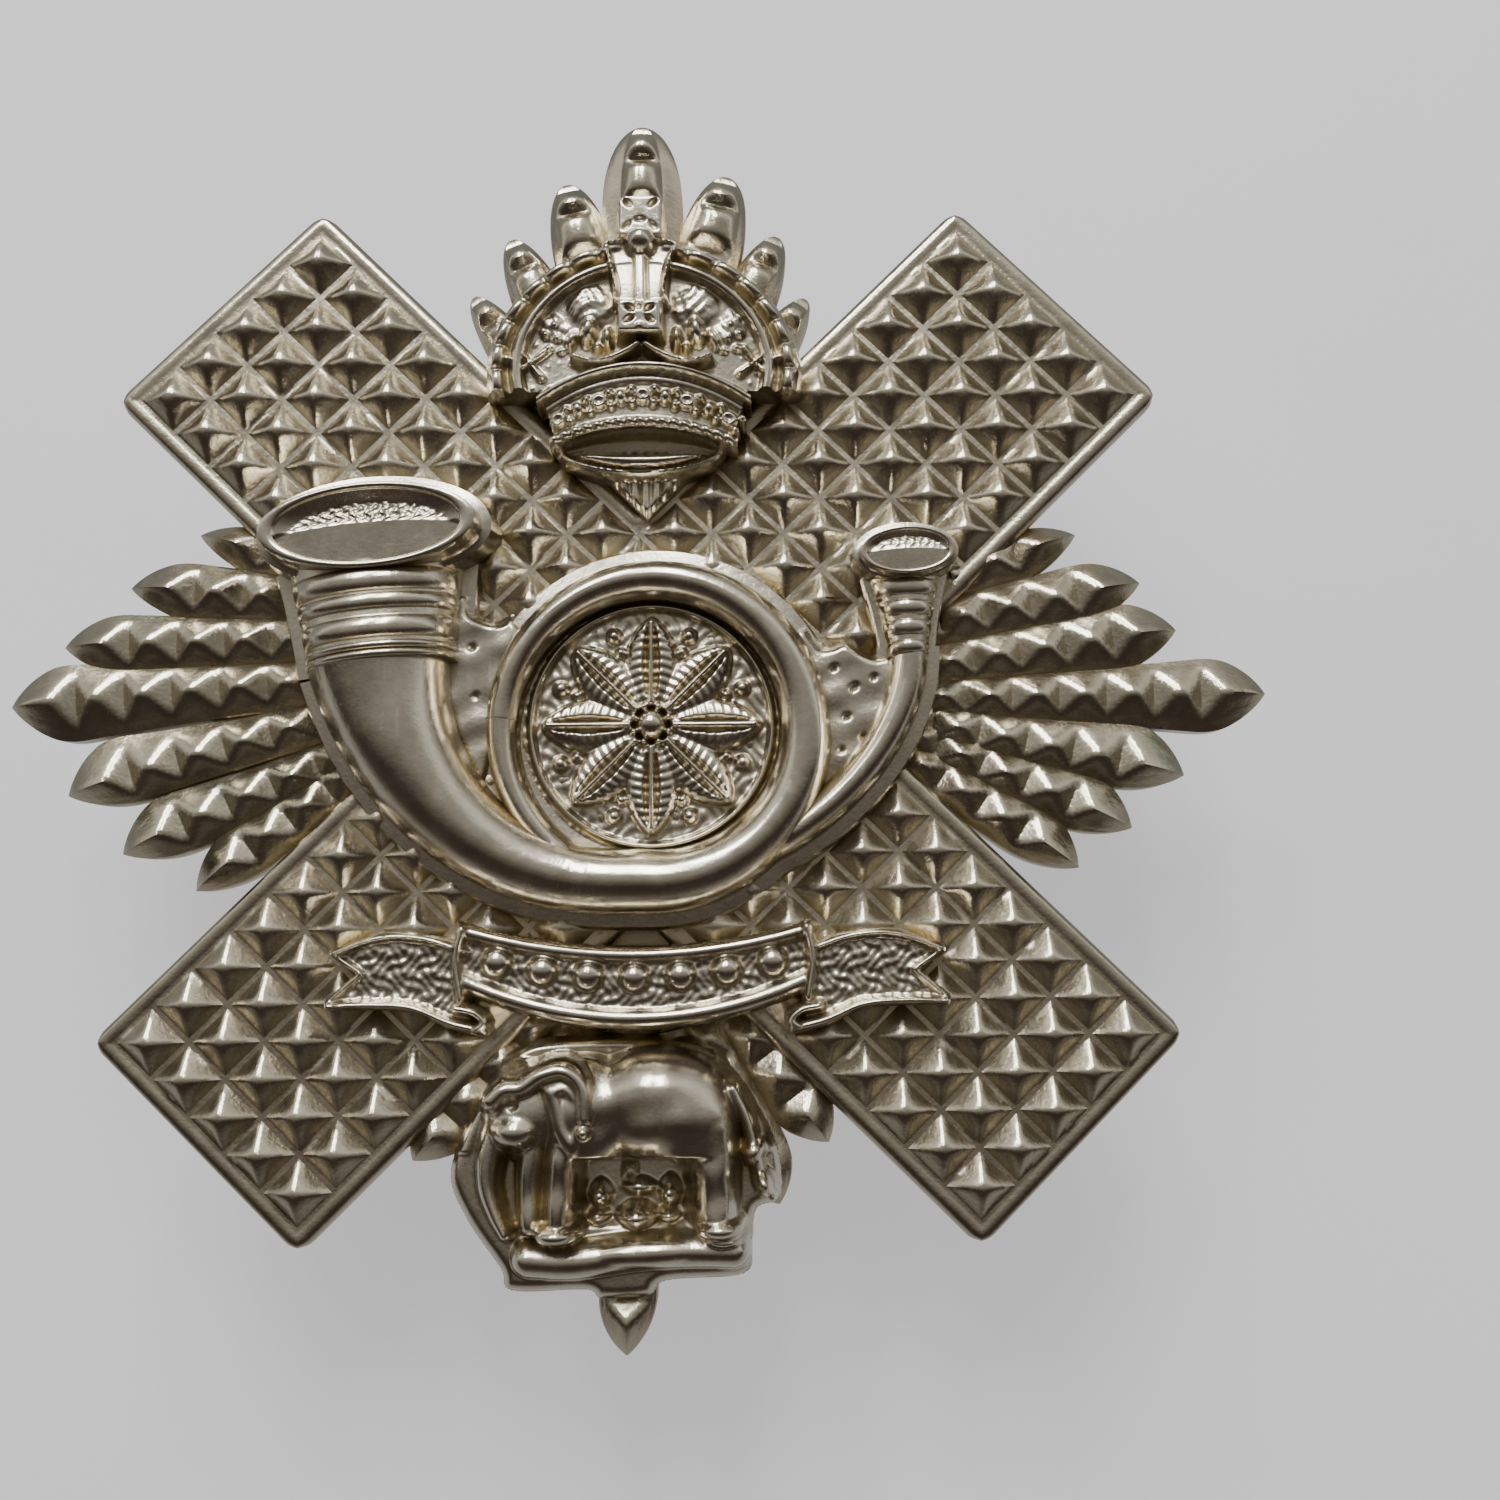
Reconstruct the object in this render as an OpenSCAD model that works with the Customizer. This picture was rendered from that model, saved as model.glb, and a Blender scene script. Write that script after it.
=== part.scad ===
// Cap badge: a ray star carrying a saltire of pyramids, with a crown, a coiled
// bugle horn, a scroll and an elephant mounted on the front. Two wire lugs, a
// backing plate and a split pin hold it on a cap.
// Every front piece is drawn face up (X right, Y up the badge, Z out of the
// face) and stood upright by upright(), so that the face looks along -Y.

/* [Saltire] */
// Half length of each bar, centre to end
arm_length = 30.8; // [28:0.1:34]
// Half width of each bar
arm_half = 7.23; // [6.5:0.01:8]
// Angle of each bar from the horizontal, degrees
arm_angle = 44.5; // [43:0.5:47]
// Width of the plain border round the pyramids
border = 0.68; // [0.4:0.01:1]
// Pyramids across one bar
pyramids_across = 5; // [3:2:7]
// Pyramids along one bar
pyramids_along = 23; // [15:2:27]

/* [Levels above the back face] */
// Thickness of the star's sheet
star_sheet = 1.0; // [0.8:0.1:1.4]
// Height of the ray ridges above the sheet
ray_rise = 1.2; // [0.8:0.1:1.6]
// Thickness of the saltire's sheet
saltire_sheet = 0.9; // [0.6:0.1:1.2]
// Height of the pyramids above the saltire's sheet
pyramid_rise = 0.8; // [0.4:0.1:1]
// Height of the border above the saltire's sheet
border_rise = 0.35; // [0.1:0.05:0.6]

/* [Horn] */
// Mean radius of the coil
coil_r = 7.6; // [7:0.1:8.2]
// How far the bell starts outside the coil
spiral_out = 6.6; // [5:0.1:7]
// Half width of the tube where it meets the coil
tube_half = 1.65; // [1.2:0.05:2]
// How much higher than half round the tube stands
coil_rise = 1.0; // [0.4:0.1:1.4]
// Half width of the bell's mouth
bell_half = 5.3; // [4.5:0.1:6]

/* [Fixings] */
// Distance between the two lugs
lug_span = 30; // [26:1:34]
// Radius of the lug wire
wire_r = 0.8; // [0.6:0.05:1]
// Half distance between a lug's two legs
leg_half = 2.0; // [1.9:0.1:2.2]
// Height of the lug's straight legs behind the back face
leg_height = 5.0; // [5:0.1:6]
// Radius of a mounting post
post_r = 0.45; // [0.3:0.05:0.6]
// Length and width of the backing plate
backing = [42, 12]; // [10:1:44]
// Thickness of the backing plate
backing_thick = 0.6; // [0.4:0.1:0.8]
// Gap between the badge and the backing plate, filled by the cap's cloth
cloth_gap = 2.8; // [2.4:0.1:3]
// Radius of the closed split pin
pin_r = 0.9; // [0.7:0.05:1]

/* [Hidden] */
$fn = 48;
fit_gap = 0.01;
saltire_base = star_sheet;
field_level = saltire_base + saltire_sheet;
mount_level = field_level + pyramid_rise;
ray_level = star_sheet + ray_rise;
pitch = 2 * (arm_half - border) / pyramids_across;
lattice_gap = 0.2;
pyramid_flat = 0.5;
far = 40;

// Rays of one side fan: angle from the fan's centre, length to the tip
side_fan_centre = [8.5, 1.2];
side_rays = [[29.5, 16.5], [17, 18.6], [7.5, 20.6], [-1.4, 24.0], [-14, 20.8],
    [-24.5, 19.1], [-35, 17]];
// Rays of the top (1) and bottom (-1) fans: angle from the centre line, length
end_fan_centre = 12;
end_rays = [[1, [[0, 20.0], [15, 17.4], [27.5, 15.4], [40.7, 13.6]]],
    [-1, [[0, 20.0], [14, 16.1], [31, 14.6], [45, 13.4]]]];
ray_half = 1.55;
ray_start = 4;
tooth_pitch = 2.5;

// Where the posts stand
crown_x = 0.3;
crown_post_at = [[crown_x - 2.8, 18], [crown_x + 2.8, 18]];
horn_post_angles = [206, 390, 480];
coil_centre = [0.8, -1.2];
scroll_post_at = [[-6, -13.4], [6, -13.4]];
elephant_post_at = [[-2.6, -19.6], [2.6, -19.6]];
head_r = 0.8;
head_thick = 0.25;

// Lug foot, let into the star's back
foot_r = 1.2;
foot_thick = 0.4;
pin_level = 4.9;
pin_tip = -20;
pin_eye = 22.6;

function ellipse_arc(a, b, from, to, steps) =
    [for (i = [0:steps]) let(t = from + (to - from) * i / steps) [a * cos(t), b * sin(t)]];
function bezier(p, t) = pow(1 - t, 3) * p[0] + 3 * t * pow(1 - t, 2) * p[1]
    + 3 * t * t * (1 - t) * p[2] + pow(t, 3) * p[3];
// How far round the bell's spiral an angle is: 0 on the coil, 1 at the bell
function spiral_part(a) = max(0, (266 - a) / 100);
function horn_at(a) = let(r = coil_r + spiral_out * pow(spiral_part(a), 1.5))
    coil_centre + r * [cos(a), sin(a)];
function horn_half(a) = a < 266 ? tube_half + 2 * pow(spiral_part(a), 2.5)
    : tube_half * exp((266 - a) / 440);

module upright() { rotate([90, 0, 0]) children(); }

// A tube with a flat back, swept along a list of [x, y, half width, rise]
module flat_tube(path, base, sides = 8) {
    last = len(path) - 1;
    function heading(i) = let(a = path[max(0, i - 1)], b = path[min(last, i + 1)],
        d = [b[0] - a[0], b[1] - a[1]]) d / norm(d);
    rings = [for (i = [0:last]) let(p = path[i], d = heading(i)) for (j = [0:sides])
        let(t = 180 * j / sides, s = p[2] * cos(t))
        [p[0] + s * d[1], p[1] - s * d[0], base + p[3] * sin(t)]];
    n = sides + 1;
    walls = [for (i = [0:last - 1]) for (j = [0:sides]) let(k = (j + 1) % n)
        each [[i * n + j, (i + 1) * n + k, (i + 1) * n + j],
            [i * n + j, i * n + k, (i + 1) * n + k]]];
    ends = [[for (j = [sides:-1:0]) j], [for (j = [0:sides]) last * n + j]];
    polyhedron(rings, concat(walls, ends));
}

module bars(length, half) {
    for (s = [-1, 1]) rotate(s * arm_angle) square([2 * length, 2 * half], center = true);
}

module post_holes(spots) {
    for (p = spots) translate([p[0], p[1], -far]) cylinder(r = post_r + fit_gap, h = 2 * far);
}

module head_pockets(spots) {
    for (p = spots) translate([p[0], p[1], -1])
        cylinder(r = head_r + fit_gap, h = 1 + head_thick);
}

all_posts = concat(crown_post_at, [for (a = horn_post_angles) horn_at(a)], [coil_centre],
    scroll_post_at, elephant_post_at);

module posts(spots, top) {
    for (p = spots) translate([p[0], p[1], 0]) {
        cylinder(r = head_r, h = head_thick);
        cylinder(r = post_r, h = top);
    }
}

// ---- star ----

module ray_outline(length) {
    polygon([[ray_start, -ray_half * 0.75], [length - 2.4, -ray_half], [length, 0],
        [length - 2.4, ray_half], [ray_start, ray_half * 0.75]]);
}

// A ridge cut into a row of pyramids, ending in one long pyramid at the tip
module ray_relief(length) {
    teeth = floor((length - 4 - ray_start) / tooth_pitch);
    low = 0.45;
    start = length - 4 - teeth * tooth_pitch;
    intersection() {
        linear_extrude(ray_rise) ray_outline(length);
        rotate([90, 0, 90]) linear_extrude(length)
            polygon([[-ray_half, 0], [ray_half, 0], [0, ray_rise]]);
        translate([0, ray_half, 0]) rotate([90, 0, 0]) linear_extrude(2 * ray_half)
            polygon(concat([[length, 0], [start, 0]],
                [for (i = [0:teeth - 1]) each [[start + i * tooth_pitch, low],
                    [start + (i + 0.5) * tooth_pitch, ray_rise]]],
                [[length - 4, low], [length - 2.6, ray_rise]]));
    }
}

module each_ray() {
    for (m = [0, 1]) mirror([m, 0, 0]) translate(side_fan_centre)
        for (r = side_rays) rotate(r[0]) { $length = r[1]; children(); }
    for (m = [0, 1], end = end_rays, r = end[1]) if (m == 0 || r[0] > 0)
        mirror([m, 0, 0]) translate([0, end[0] * end_fan_centre])
            rotate(end[0] * (90 - r[0])) { $length = r[1]; children(); }
}

module star_outline() {
    circle(r = 17);
    each_ray() ray_outline($length);
}

module lug_pocket() {
    for (s = [-1, 1]) translate([s * lug_span / 2, 0, 0]) translate([0, 0, -1])
        linear_extrude(1 + foot_thick) stadium(foot_r + fit_gap, leg_half);
}

module stadium(r, half) {
    square([2 * r, 2 * half], center = true);
    for (s = [-1, 1]) translate([0, s * half]) circle(r = r);
}

module star_plate() {
    color("silver") upright() difference() {
        union() {
            linear_extrude(star_sheet) star_outline();
            difference() {
                translate([0, 0, star_sheet - 0.05]) each_ray() ray_relief($length);
                translate([0, 0, star_sheet]) linear_extrude(far)
                    bars(arm_length + fit_gap, arm_half + fit_gap);
            }
        }
        post_holes(all_posts);
        head_pockets(all_posts);
        lug_pocket();
    }
}

// ---- saltire ----

module v_grooves() {
    count = pyramids_along + 1;
    half_top = (pitch - pyramid_flat) / 2;
    for (s = [-1, 1]) rotate(s * arm_angle) for (i = [0:count - 1])
        let(at = (i - (count - 1) / 2) * pitch, run = abs(at) < arm_half ? arm_length : arm_half)
        translate([-run + border, at, 0]) rotate([90, 0, 90]) linear_extrude(2 * (run - border))
            polygon([[-lattice_gap / 2, 0], [lattice_gap / 2, 0],
                [half_top, pyramid_rise + 0.1], [-half_top, pyramid_rise + 0.1]]);
}

module saltire_plate() {
    inner = [arm_length - border, arm_half - border];
    color("silver") upright() difference() {
        union() {
            translate([0, 0, saltire_base]) linear_extrude(saltire_sheet)
                bars(arm_length, arm_half);
            translate([0, 0, field_level]) linear_extrude(border_rise) difference() {
                bars(arm_length, arm_half);
                bars(inner[0], inner[1]);
            }
            translate([0, 0, field_level]) difference() {
                linear_extrude(pyramid_rise) bars(inner[0], inner[1]);
                v_grooves();
            }
        }
        post_holes(all_posts);
    }
}

// ---- crown ----

circlet_half = 4.9;
circlet_depth = 2.6;
circlet_y = [13.0, 16.4];
dome_r = 11.6;

module crown_circlet() {
    r = (pow(circlet_half, 2) + pow(circlet_depth, 2)) / (2 * circlet_depth);
    heights = [circlet_y[0], circlet_y[0] + 0.8, circlet_y[1] - 0.8, circlet_y[1]];
    for (i = [0:2]) intersection() {
        translate([crown_x, heights[i + 1], mount_level + circlet_depth - r]) rotate([90, 0, 0])
            cylinder(r = i == 1 ? r : r + 0.3, h = heights[i + 1] - heights[i]);
        translate([-far, 0, mount_level]) cube([2 * far, far, far]);
    }
}

module crown_cap() {
    translate([crown_x, 0, 0]) intersection() {
        translate([0, 18.2, mount_level + 2.2 - dome_r]) sphere(r = dome_r);
        translate([0, 0, mount_level]) linear_extrude(far) intersection() {
            for (s = [-1, 1]) translate([s * 2.7, 18.5]) circle(r = 4.1);
            translate([-far, circlet_y[1] - 0.1]) square([2 * far, far]);
        }
    }
    translate([crown_x, 0, 0]) for (s = [-1, 1]) intersection() {
        translate([s * 2.7, 18.5, mount_level]) rotate_extrude()
            translate([3.7, 0]) circle(r = 0.9, $fn = 24);
        translate([s > 0 ? 0 : -far, circlet_y[1] - 0.1, mount_level]) cube([far, far, far]);
    }
}

module crown_front() {
    translate([crown_x, 0, mount_level]) {
        linear_extrude(3.2) polygon([[-1.2, 16], [1.2, 16], [1.9, 22.8], [-1.9, 22.8]]);
        translate([0, 23.2, 1.4]) sphere(r = 0.9);
        translate([0, 25.0, 0]) linear_extrude(1.6) for (a = [0, 90, 180, 270]) rotate(a)
            polygon([[0.2, -0.25], [1.45, -0.85], [1.45, 0.85], [0.2, 0.25]]);
        translate([0, 25.0, 0]) cylinder(r = 0.6, h = 1.7);
    }
}

module crown_foot() {
    translate([crown_x, 0, mount_level]) {
        linear_extrude(1.6) difference() {
            translate([0, circlet_y[0] + 0.4]) circle(r = 3.4);
            translate([-far, circlet_y[0] + 0.4]) square([2 * far, far]);
        }
        linear_extrude(0.8) polygon([[-2.6, 12], [2.6, 12], [0.2, 9.9]]);
    }
}

module crown() {
    color("silver") upright() {
        crown_circlet();
        crown_cap();
        crown_front();
        crown_foot();
    }
}

// ---- horn ----

neck_x = -13.25;
neck_y = [2.0, 7.4];
tail_curve = [[3.6, -8.3], [10.2, -6.2], [13.9, -1], [13.7, 6.6]];

// Half width of a ribbed socket: a straight flare with raised ribs
function ribbed(t, from, to, ribs) =
    from + (to - from) * t + (floor(t * ribs * 2) % 2 == 0 ? 0.25 : 0);

module mouth(centre, a, b, top) {
    translate([centre[0], centre[1], mount_level]) difference() {
        linear_extrude(top) polygon(ellipse_arc(a, b, 0, 350, 35));
        translate([0, 0, top - 1.2]) linear_extrude(2) polygon(
            ellipse_arc(a - 0.7, b - 0.6, 0, 350, 35));
    }
}

// The ribbed socket and the coiled tube, from the bell's mouth to the coil's end
function socket() = [for (i = [0:20]) let(t = i / 20, y = neck_y[1] + t * (neck_y[0]
    - neck_y[1])) [neck_x, y, ribbed(t, 4.7, 3.75, 5), ribbed(t, 3.7, 3.6, 5)]];
function coil(from, to, trim) = [for (a = [from:7:to]) let(p = horn_at(a),
    h = horn_half(a) - trim) [p[0], p[1], h, h + coil_rise]];
function tail() = [for (i = [0:16]) let(p = bezier(tail_curve, i / 16),
    h = 0.9 + 0.14 * max(0, i - 10)) [p[0], p[1], h, h + coil_rise]];

module horn() {
    color("silver") upright() {
        flat_tube(concat(socket(), coil(172, 536, 0)), mount_level);
        // The coil's small end, which dives under the wide tube
        flat_tube(coil(523, 600, 0.08), mount_level);
        flat_tube(tail(), mount_level);
        mouth([-13.1, 8.6], bell_half, 2.3, 4.1);
        mouth([13.5, 7.4], 2.4, 1.25, 2.8);
    }
}

// ---- centre device ----

module centre_device() {
    disc_r = 5.5;
    petals = 8;
    color("silver") upright() translate([coil_centre[0], coil_centre[1], mount_level]) {
        cylinder(r = disc_r, h = 0.4);
        difference() {
            cylinder(r = disc_r, h = 0.7);
            translate([0, 0, -1]) cylinder(r = disc_r - 0.4, h = 3);
        }
        for (i = [0:petals - 1]) rotate(i * 360 / petals) linear_extrude(0.9)
            polygon([[0.4, 0], [2.6, 0.9], [4.4, 0], [2.6, -0.9]]);
        cylinder(r = 1.3, h = 1.0);
    }
}

// ---- scroll ----

module scroll_band(inset) {
    intersection() {
        difference() {
            translate([-0.1, 4.9]) circle(r = 20.9 - inset, $fn = 180);
            translate([-0.05, 17.5]) circle(r = 29.9 + inset, $fn = 180);
        }
        translate([-8.7 + inset, -far]) square([17.4 - 2 * inset, far]);
    }
}

module scroll() {
    color("silver") upright() translate([0, 0, mount_level]) {
        linear_extrude(1.3) scroll_band(0);
        translate([0, 0, 1.3]) linear_extrude(0.3) difference() {
            scroll_band(0);
            scroll_band(0.45);
        }
        for (i = [-3:3]) translate([i * 2.2, -14.15 + 0.022 * i * i, 1.3])
            cylinder(r = 0.6, h = 0.4);
        linear_extrude(1.0) {
            polygon([[-8.2, -12.4], [-11.4, -11.9], [-14.8, -12.1], [-13.5, -13.2],
                [-14.5, -14.75], [-11.4, -14.9], [-8.2, -16.1]]);
            polygon([[8.2, -11.6], [11.2, -11.0], [14.9, -11.9], [13.2, -13.1],
                [15.1, -14.4], [11.2, -14.6], [8.2, -16.1]]);
        }
    }
}

// ---- elephant ----

module blob(from, to, fn = 24) {
    hull() {
        translate([from[0], from[1], ray_level + from[2]]) sphere(r = from[3], $fn = fn);
        translate([to[0], to[1], ray_level + to[2]]) sphere(r = to[3], $fn = fn);
    }
}

module elephant() {
    color("silver") upright() {
        intersection() {
            union() {
                blob([-2.0, -19.6, 0.4, 2.6], [2.4, -20.0, 0.4, 2.7]);
                blob([-4.6, -19.6, 0.6, 2.2], [-4.6, -20.8, 0.5, 1.8]);
                blob([-4.4, -21.5, 0.6, 1.3], [-4.4, -25.2, 0.4, 1.1]);
                blob([3.8, -21.5, 0.6, 1.4], [3.8, -25.0, 0.4, 1.05]);
                blob([-6.4, -20.8, 0.6, 1.1], [-7.0, -22.6, 0.3, 0.8]);
                blob([-7.0, -22.6, 0.3, 0.8], [-6.3, -24.6, 0.3, 0.5]);
                blob([5.2, -19.0, 0.2, 0.7], [6.4, -23.6, 0.2, 0.5]);
            }
            translate([-far, -far, ray_level]) cube([2 * far, 2 * far, far]);
        }
        translate([0, 0, ray_level]) linear_extrude(2.0)
            polygon([[-5.7, -25.8], [-6.2, -28.5], [5.2, -28.1], [5.0, -25.6]]);
    }
}

// ---- posts ----

module crown_posts() {
    color("peru") upright() posts(crown_post_at, mount_level);
}
module horn_posts() {
    color("peru") upright() posts([for (a = horn_post_angles) horn_at(a)], mount_level);
}
module centre_post() {
    color("peru") upright() posts([coil_centre], mount_level);
}
module scroll_posts() {
    color("peru") upright() posts(scroll_post_at, mount_level);
}
module elephant_posts() {
    color("peru") upright() posts(elephant_post_at, ray_level);
}

// ---- fixings, drawn in the badge's own frame: +Y is towards the cap ----

module lug(side) {
    color("peru") translate([side * lug_span / 2, 0, 0]) {
        upright() linear_extrude(foot_thick) stadium(foot_r, leg_half);
        for (s = [-1, 1]) translate([0, -foot_thick / 2, s * leg_half]) rotate([-90, 0, 0])
            cylinder(r = wire_r, h = leg_height + foot_thick / 2);
        translate([0, leg_height, 0]) rotate([0, 90, 0]) rotate_extrude(angle = 180)
            translate([leg_half, 0]) circle(r = wire_r);
    }
}
module lug_left() { lug(-1); }
module lug_right() { lug(1); }

module backing_plate() {
    corner = 2;
    slot_r = 1.15;
    color("goldenrod") translate([0, cloth_gap + backing_thick, 0]) upright()
        linear_extrude(backing_thick) difference() {
            union() {
                square([backing[0] - 2 * corner, backing[1]], center = true);
                square([backing[0], backing[1] - 2 * corner], center = true);
                for (sx = [-1, 1], sy = [-1, 1])
                    translate([sx * (backing[0] / 2 - corner), sy * (backing[1] / 2 - corner)])
                        circle(r = corner);
            }
            for (s = [-1, 1]) translate([s * lug_span / 2, 0]) stadium(slot_r, leg_half);
        }
}

module split_pin() {
    eye_r = 1.5;
    slit = 0.12;
    color("goldenrod") translate([0, pin_level, 0]) {
        difference() {
            translate([pin_tip, 0, 0]) rotate([0, 90, 0])
                cylinder(r = pin_r, h = pin_eye - eye_r + 0.6 - pin_tip);
            translate([pin_tip - 1, -far / 2, -slit / 2])
                cube([pin_eye - eye_r - 0.6 - pin_tip + 1, far, slit]);
        }
        translate([pin_eye + 0.4, 0, 0]) rotate([90, 0, 0]) rotate_extrude() intersection() {
            translate([eye_r - 0.6, 0]) circle(r = pin_r);
            translate([eye_r - 0.6, -pin_r]) square(2 * pin_r);
        }
    }
}

star_plate();
saltire_plate();
crown();
horn();
centre_device();
scroll();
elephant();
crown_posts();
horn_posts();
centre_post();
scroll_posts();
elephant_posts();
lug_left();
lug_right();
backing_plate();
split_pin();
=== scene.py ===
"""Cap badge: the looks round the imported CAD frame.

The front pieces are drawn in the badge's own plane, in millimetres: u to the right, v up the
badge, w out of the face from the star's back. row() turns that into the frame's metres, where
the face looks along -Y.
"""
import math
from contextlib import contextmanager

import bmesh
import bpy
import numpy as np
from mathutils import Matrix, Vector

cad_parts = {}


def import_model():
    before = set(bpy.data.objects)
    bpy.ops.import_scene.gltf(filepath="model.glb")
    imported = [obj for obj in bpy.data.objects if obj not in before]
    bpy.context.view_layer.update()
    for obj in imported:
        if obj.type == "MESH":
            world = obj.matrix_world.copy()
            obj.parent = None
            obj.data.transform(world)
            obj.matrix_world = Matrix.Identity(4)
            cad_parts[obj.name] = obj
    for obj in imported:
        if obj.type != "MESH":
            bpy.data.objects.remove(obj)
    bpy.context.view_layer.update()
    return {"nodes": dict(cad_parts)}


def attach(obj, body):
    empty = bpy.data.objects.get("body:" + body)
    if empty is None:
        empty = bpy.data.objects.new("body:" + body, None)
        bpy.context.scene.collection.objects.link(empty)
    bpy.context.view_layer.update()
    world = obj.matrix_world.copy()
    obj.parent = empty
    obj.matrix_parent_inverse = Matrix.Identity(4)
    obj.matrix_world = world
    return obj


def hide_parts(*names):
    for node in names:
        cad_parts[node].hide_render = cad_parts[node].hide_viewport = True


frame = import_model()

MM = 0.001
SHEET = 1.0          # the star's sheet
FIELD = 1.9          # the saltire's ground between its pyramids
MOUNT = 2.7          # the plane the mounts stand on
ARM_ANGLE = math.radians(44.5)
ARM_HALF = 7.45
ARM_LENGTH = 31.03
BORDER = 0.90
PITCH = 2.62
COIL_CENTRE = np.array([0.8, -1.2])


# ---- mesh helpers

def row(points):
    p = np.asarray(points, float).reshape(-1, 3)
    return np.column_stack([p[:, 0], -p[:, 2], p[:, 1]]) * MM


def smoothstep(a, b, x):
    t = np.clip((x - a) / (b - a), 0, 1)
    return t * t * (3 - 2 * t)


def rounded(distance, half):
    """The section of a round bar: 1 on its line, 0 from half its width on."""
    return np.sqrt(np.clip(1 - (distance / half) ** 2, 0, 1))


def eased(x):
    """A quarter round: 0 at the edge, 1 from 1 on."""
    return np.sqrt(1 - (1 - np.clip(x, 0, 1)) ** 2)


def around(centre, angle, a, b=None):
    """The place at an angle, in radians, on a circle or an ellipse."""
    return centre[0] + a * math.cos(angle), centre[1] + (b or a) * math.sin(angle)


def levelled(points, level):
    """The same points at another height."""
    points = points.copy()
    points[..., 2] = level
    return points


def soft_min(a, b, k):
    """The lower of two heights, blended where they are within k of each other."""
    h = np.clip(0.5 + 0.5 * (b - a) / k, 0, 1)
    return b + (a - b) * h - k * h * (1 - h)


def soft_max(a, b, k):
    return -soft_min(-a, -b, k)


def add(name, data):
    obj = bpy.data.objects.new(name, data)
    bpy.context.scene.collection.objects.link(obj)
    return obj


def new_object(name, points, faces):
    mesh = bpy.data.meshes.new(name)
    mesh.from_pydata(row(points).tolist(), [], faces)
    return add(name, mesh)


@contextmanager
def editing(obj):
    """The object's mesh as a bmesh, which is written back at the end."""
    bm = bmesh.new()
    bm.from_mesh(obj.data)
    yield bm
    bm.to_mesh(obj.data)
    bm.free()


def fix_normals(obj):
    with editing(obj) as bm:
        bmesh.ops.remove_doubles(bm, verts=bm.verts, dist=1e-7)
        bmesh.ops.dissolve_degenerate(bm, edges=bm.edges, dist=1e-8)
        bmesh.ops.recalc_face_normals(bm, faces=bm.faces)


def fill_holes(obj):
    with editing(obj) as bm:
        bmesh.ops.holes_fill(bm, edges=[e for e in bm.edges if e.is_boundary], sides=0)
        bmesh.ops.recalc_face_normals(bm, faces=bm.faces)


def slab(name, front, rear, keep=None, closed=False, split=None):
    """A closed solid between two grids of points, front[i, j] and rear[i, j].

    keep masks the points that count. closed joins the last column to the first. split(i, j)
    says which way a front quad is cut, where the crease between two facets matters.
    """
    keep = np.ones(front.shape[:2], bool) if keep is None else keep
    size = keep.sum()
    index = -np.ones(keep.shape, int)
    index[keep] = np.arange(size)
    if closed:
        index = np.column_stack([index, index[:, 0]])
    quads = index[:-1, :-1], index[1:, :-1], index[1:, 1:], index[:-1, 1:]
    whole = np.all([q >= 0 for q in quads], axis=0)
    faces, sides = [], {}
    for i, j in zip(*np.nonzero(whole)):
        a, b, c, d = (int(q[i, j]) for q in quads)
        fronts = [(a, b, c, d)]
        if split:
            fronts = [(a, b, c), (a, c, d)] if split(i, j) else [(a, b, d), (b, c, d)]
        faces += fronts + [(d + size, c + size, b + size, a + size)]
        for face in fronts:
            sides.update({side: True for side in zip(face, face[1:] + face[:1])})
    faces += [(b, a, a + size, b + size) for a, b in sides if (b, a) not in sides]
    obj = new_object(name, np.concatenate([front[keep], rear[keep]]), faces)
    fix_normals(obj)
    return obj


def sweep(name, path, profiles):
    """A closed solid from one profile of (across, w) points at each point of a (u, v) path."""
    path = np.asarray(path, float)
    heading = np.gradient(path, axis=0)
    heading /= np.linalg.norm(heading, axis=1)[:, None]
    side = np.column_stack([heading[:, 1], -heading[:, 0]])
    rings = []
    for p, s, profile in zip(path, side, profiles):
        profile = np.asarray(profile, float)
        flat = p + profile[:, :1] * s
        rings.append(np.column_stack([flat, profile[:, 1]]))
    rings = np.array(rings)
    n, m = rings.shape[:2]
    faces = [(i * m + j, (i + 1) * m + j, (i + 1) * m + (j + 1) % m, i * m + (j + 1) % m)
             for i in range(n - 1) for j in range(m)]
    faces += [tuple(range(m)), tuple(range((n - 1) * m, n * m))]
    obj = new_object(name, rings, faces)
    fix_normals(obj)
    return obj


def union(name, parts):
    """One clean closed mesh from overlapping solids."""
    base = parts[0]
    for other in parts[1:]:
        mod = base.modifiers.new("join", "BOOLEAN")
        mod.operation = "UNION"
        mod.solver = "MANIFOLD"
        mod.object = other
        with bpy.context.temp_override(object=base, active_object=base):
            bpy.ops.object.modifier_apply(modifier=mod.name)
        bpy.data.objects.remove(other)
    base.name = base.data.name = name
    return base


def shade(obj, crease=40):
    """Smooth shading that keeps every edge sharper than the crease angle."""
    limit = math.radians(crease)
    with editing(obj) as bm:
        for edge in bm.edges:
            edge.smooth = len(edge.link_faces) == 2 and edge.calc_face_angle(0) < limit
        for face in bm.faces:
            face.smooth = True


def soften(height, passes):
    """Rounds the creases of a grid of heights a little, as a worn die does."""
    for _ in range(passes):
        old = height.copy()
        total, count = np.zeros(old[1:-1, 1:-1].shape), 0
        for near in (old[:-2, 1:-1], old[2:, 1:-1], old[1:-1, :-2], old[1:-1, 2:]):
            there = near > -5
            total += np.where(there, near, 0)
            count = count + there
        middle = old[1:-1, 1:-1]
        blurred = 0.5 * middle + 0.5 * total / np.maximum(count, 1)
        height[1:-1, 1:-1] = np.where((middle > -5) & (count > 0), blurred, middle)
    return height


# ---- the star

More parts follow.
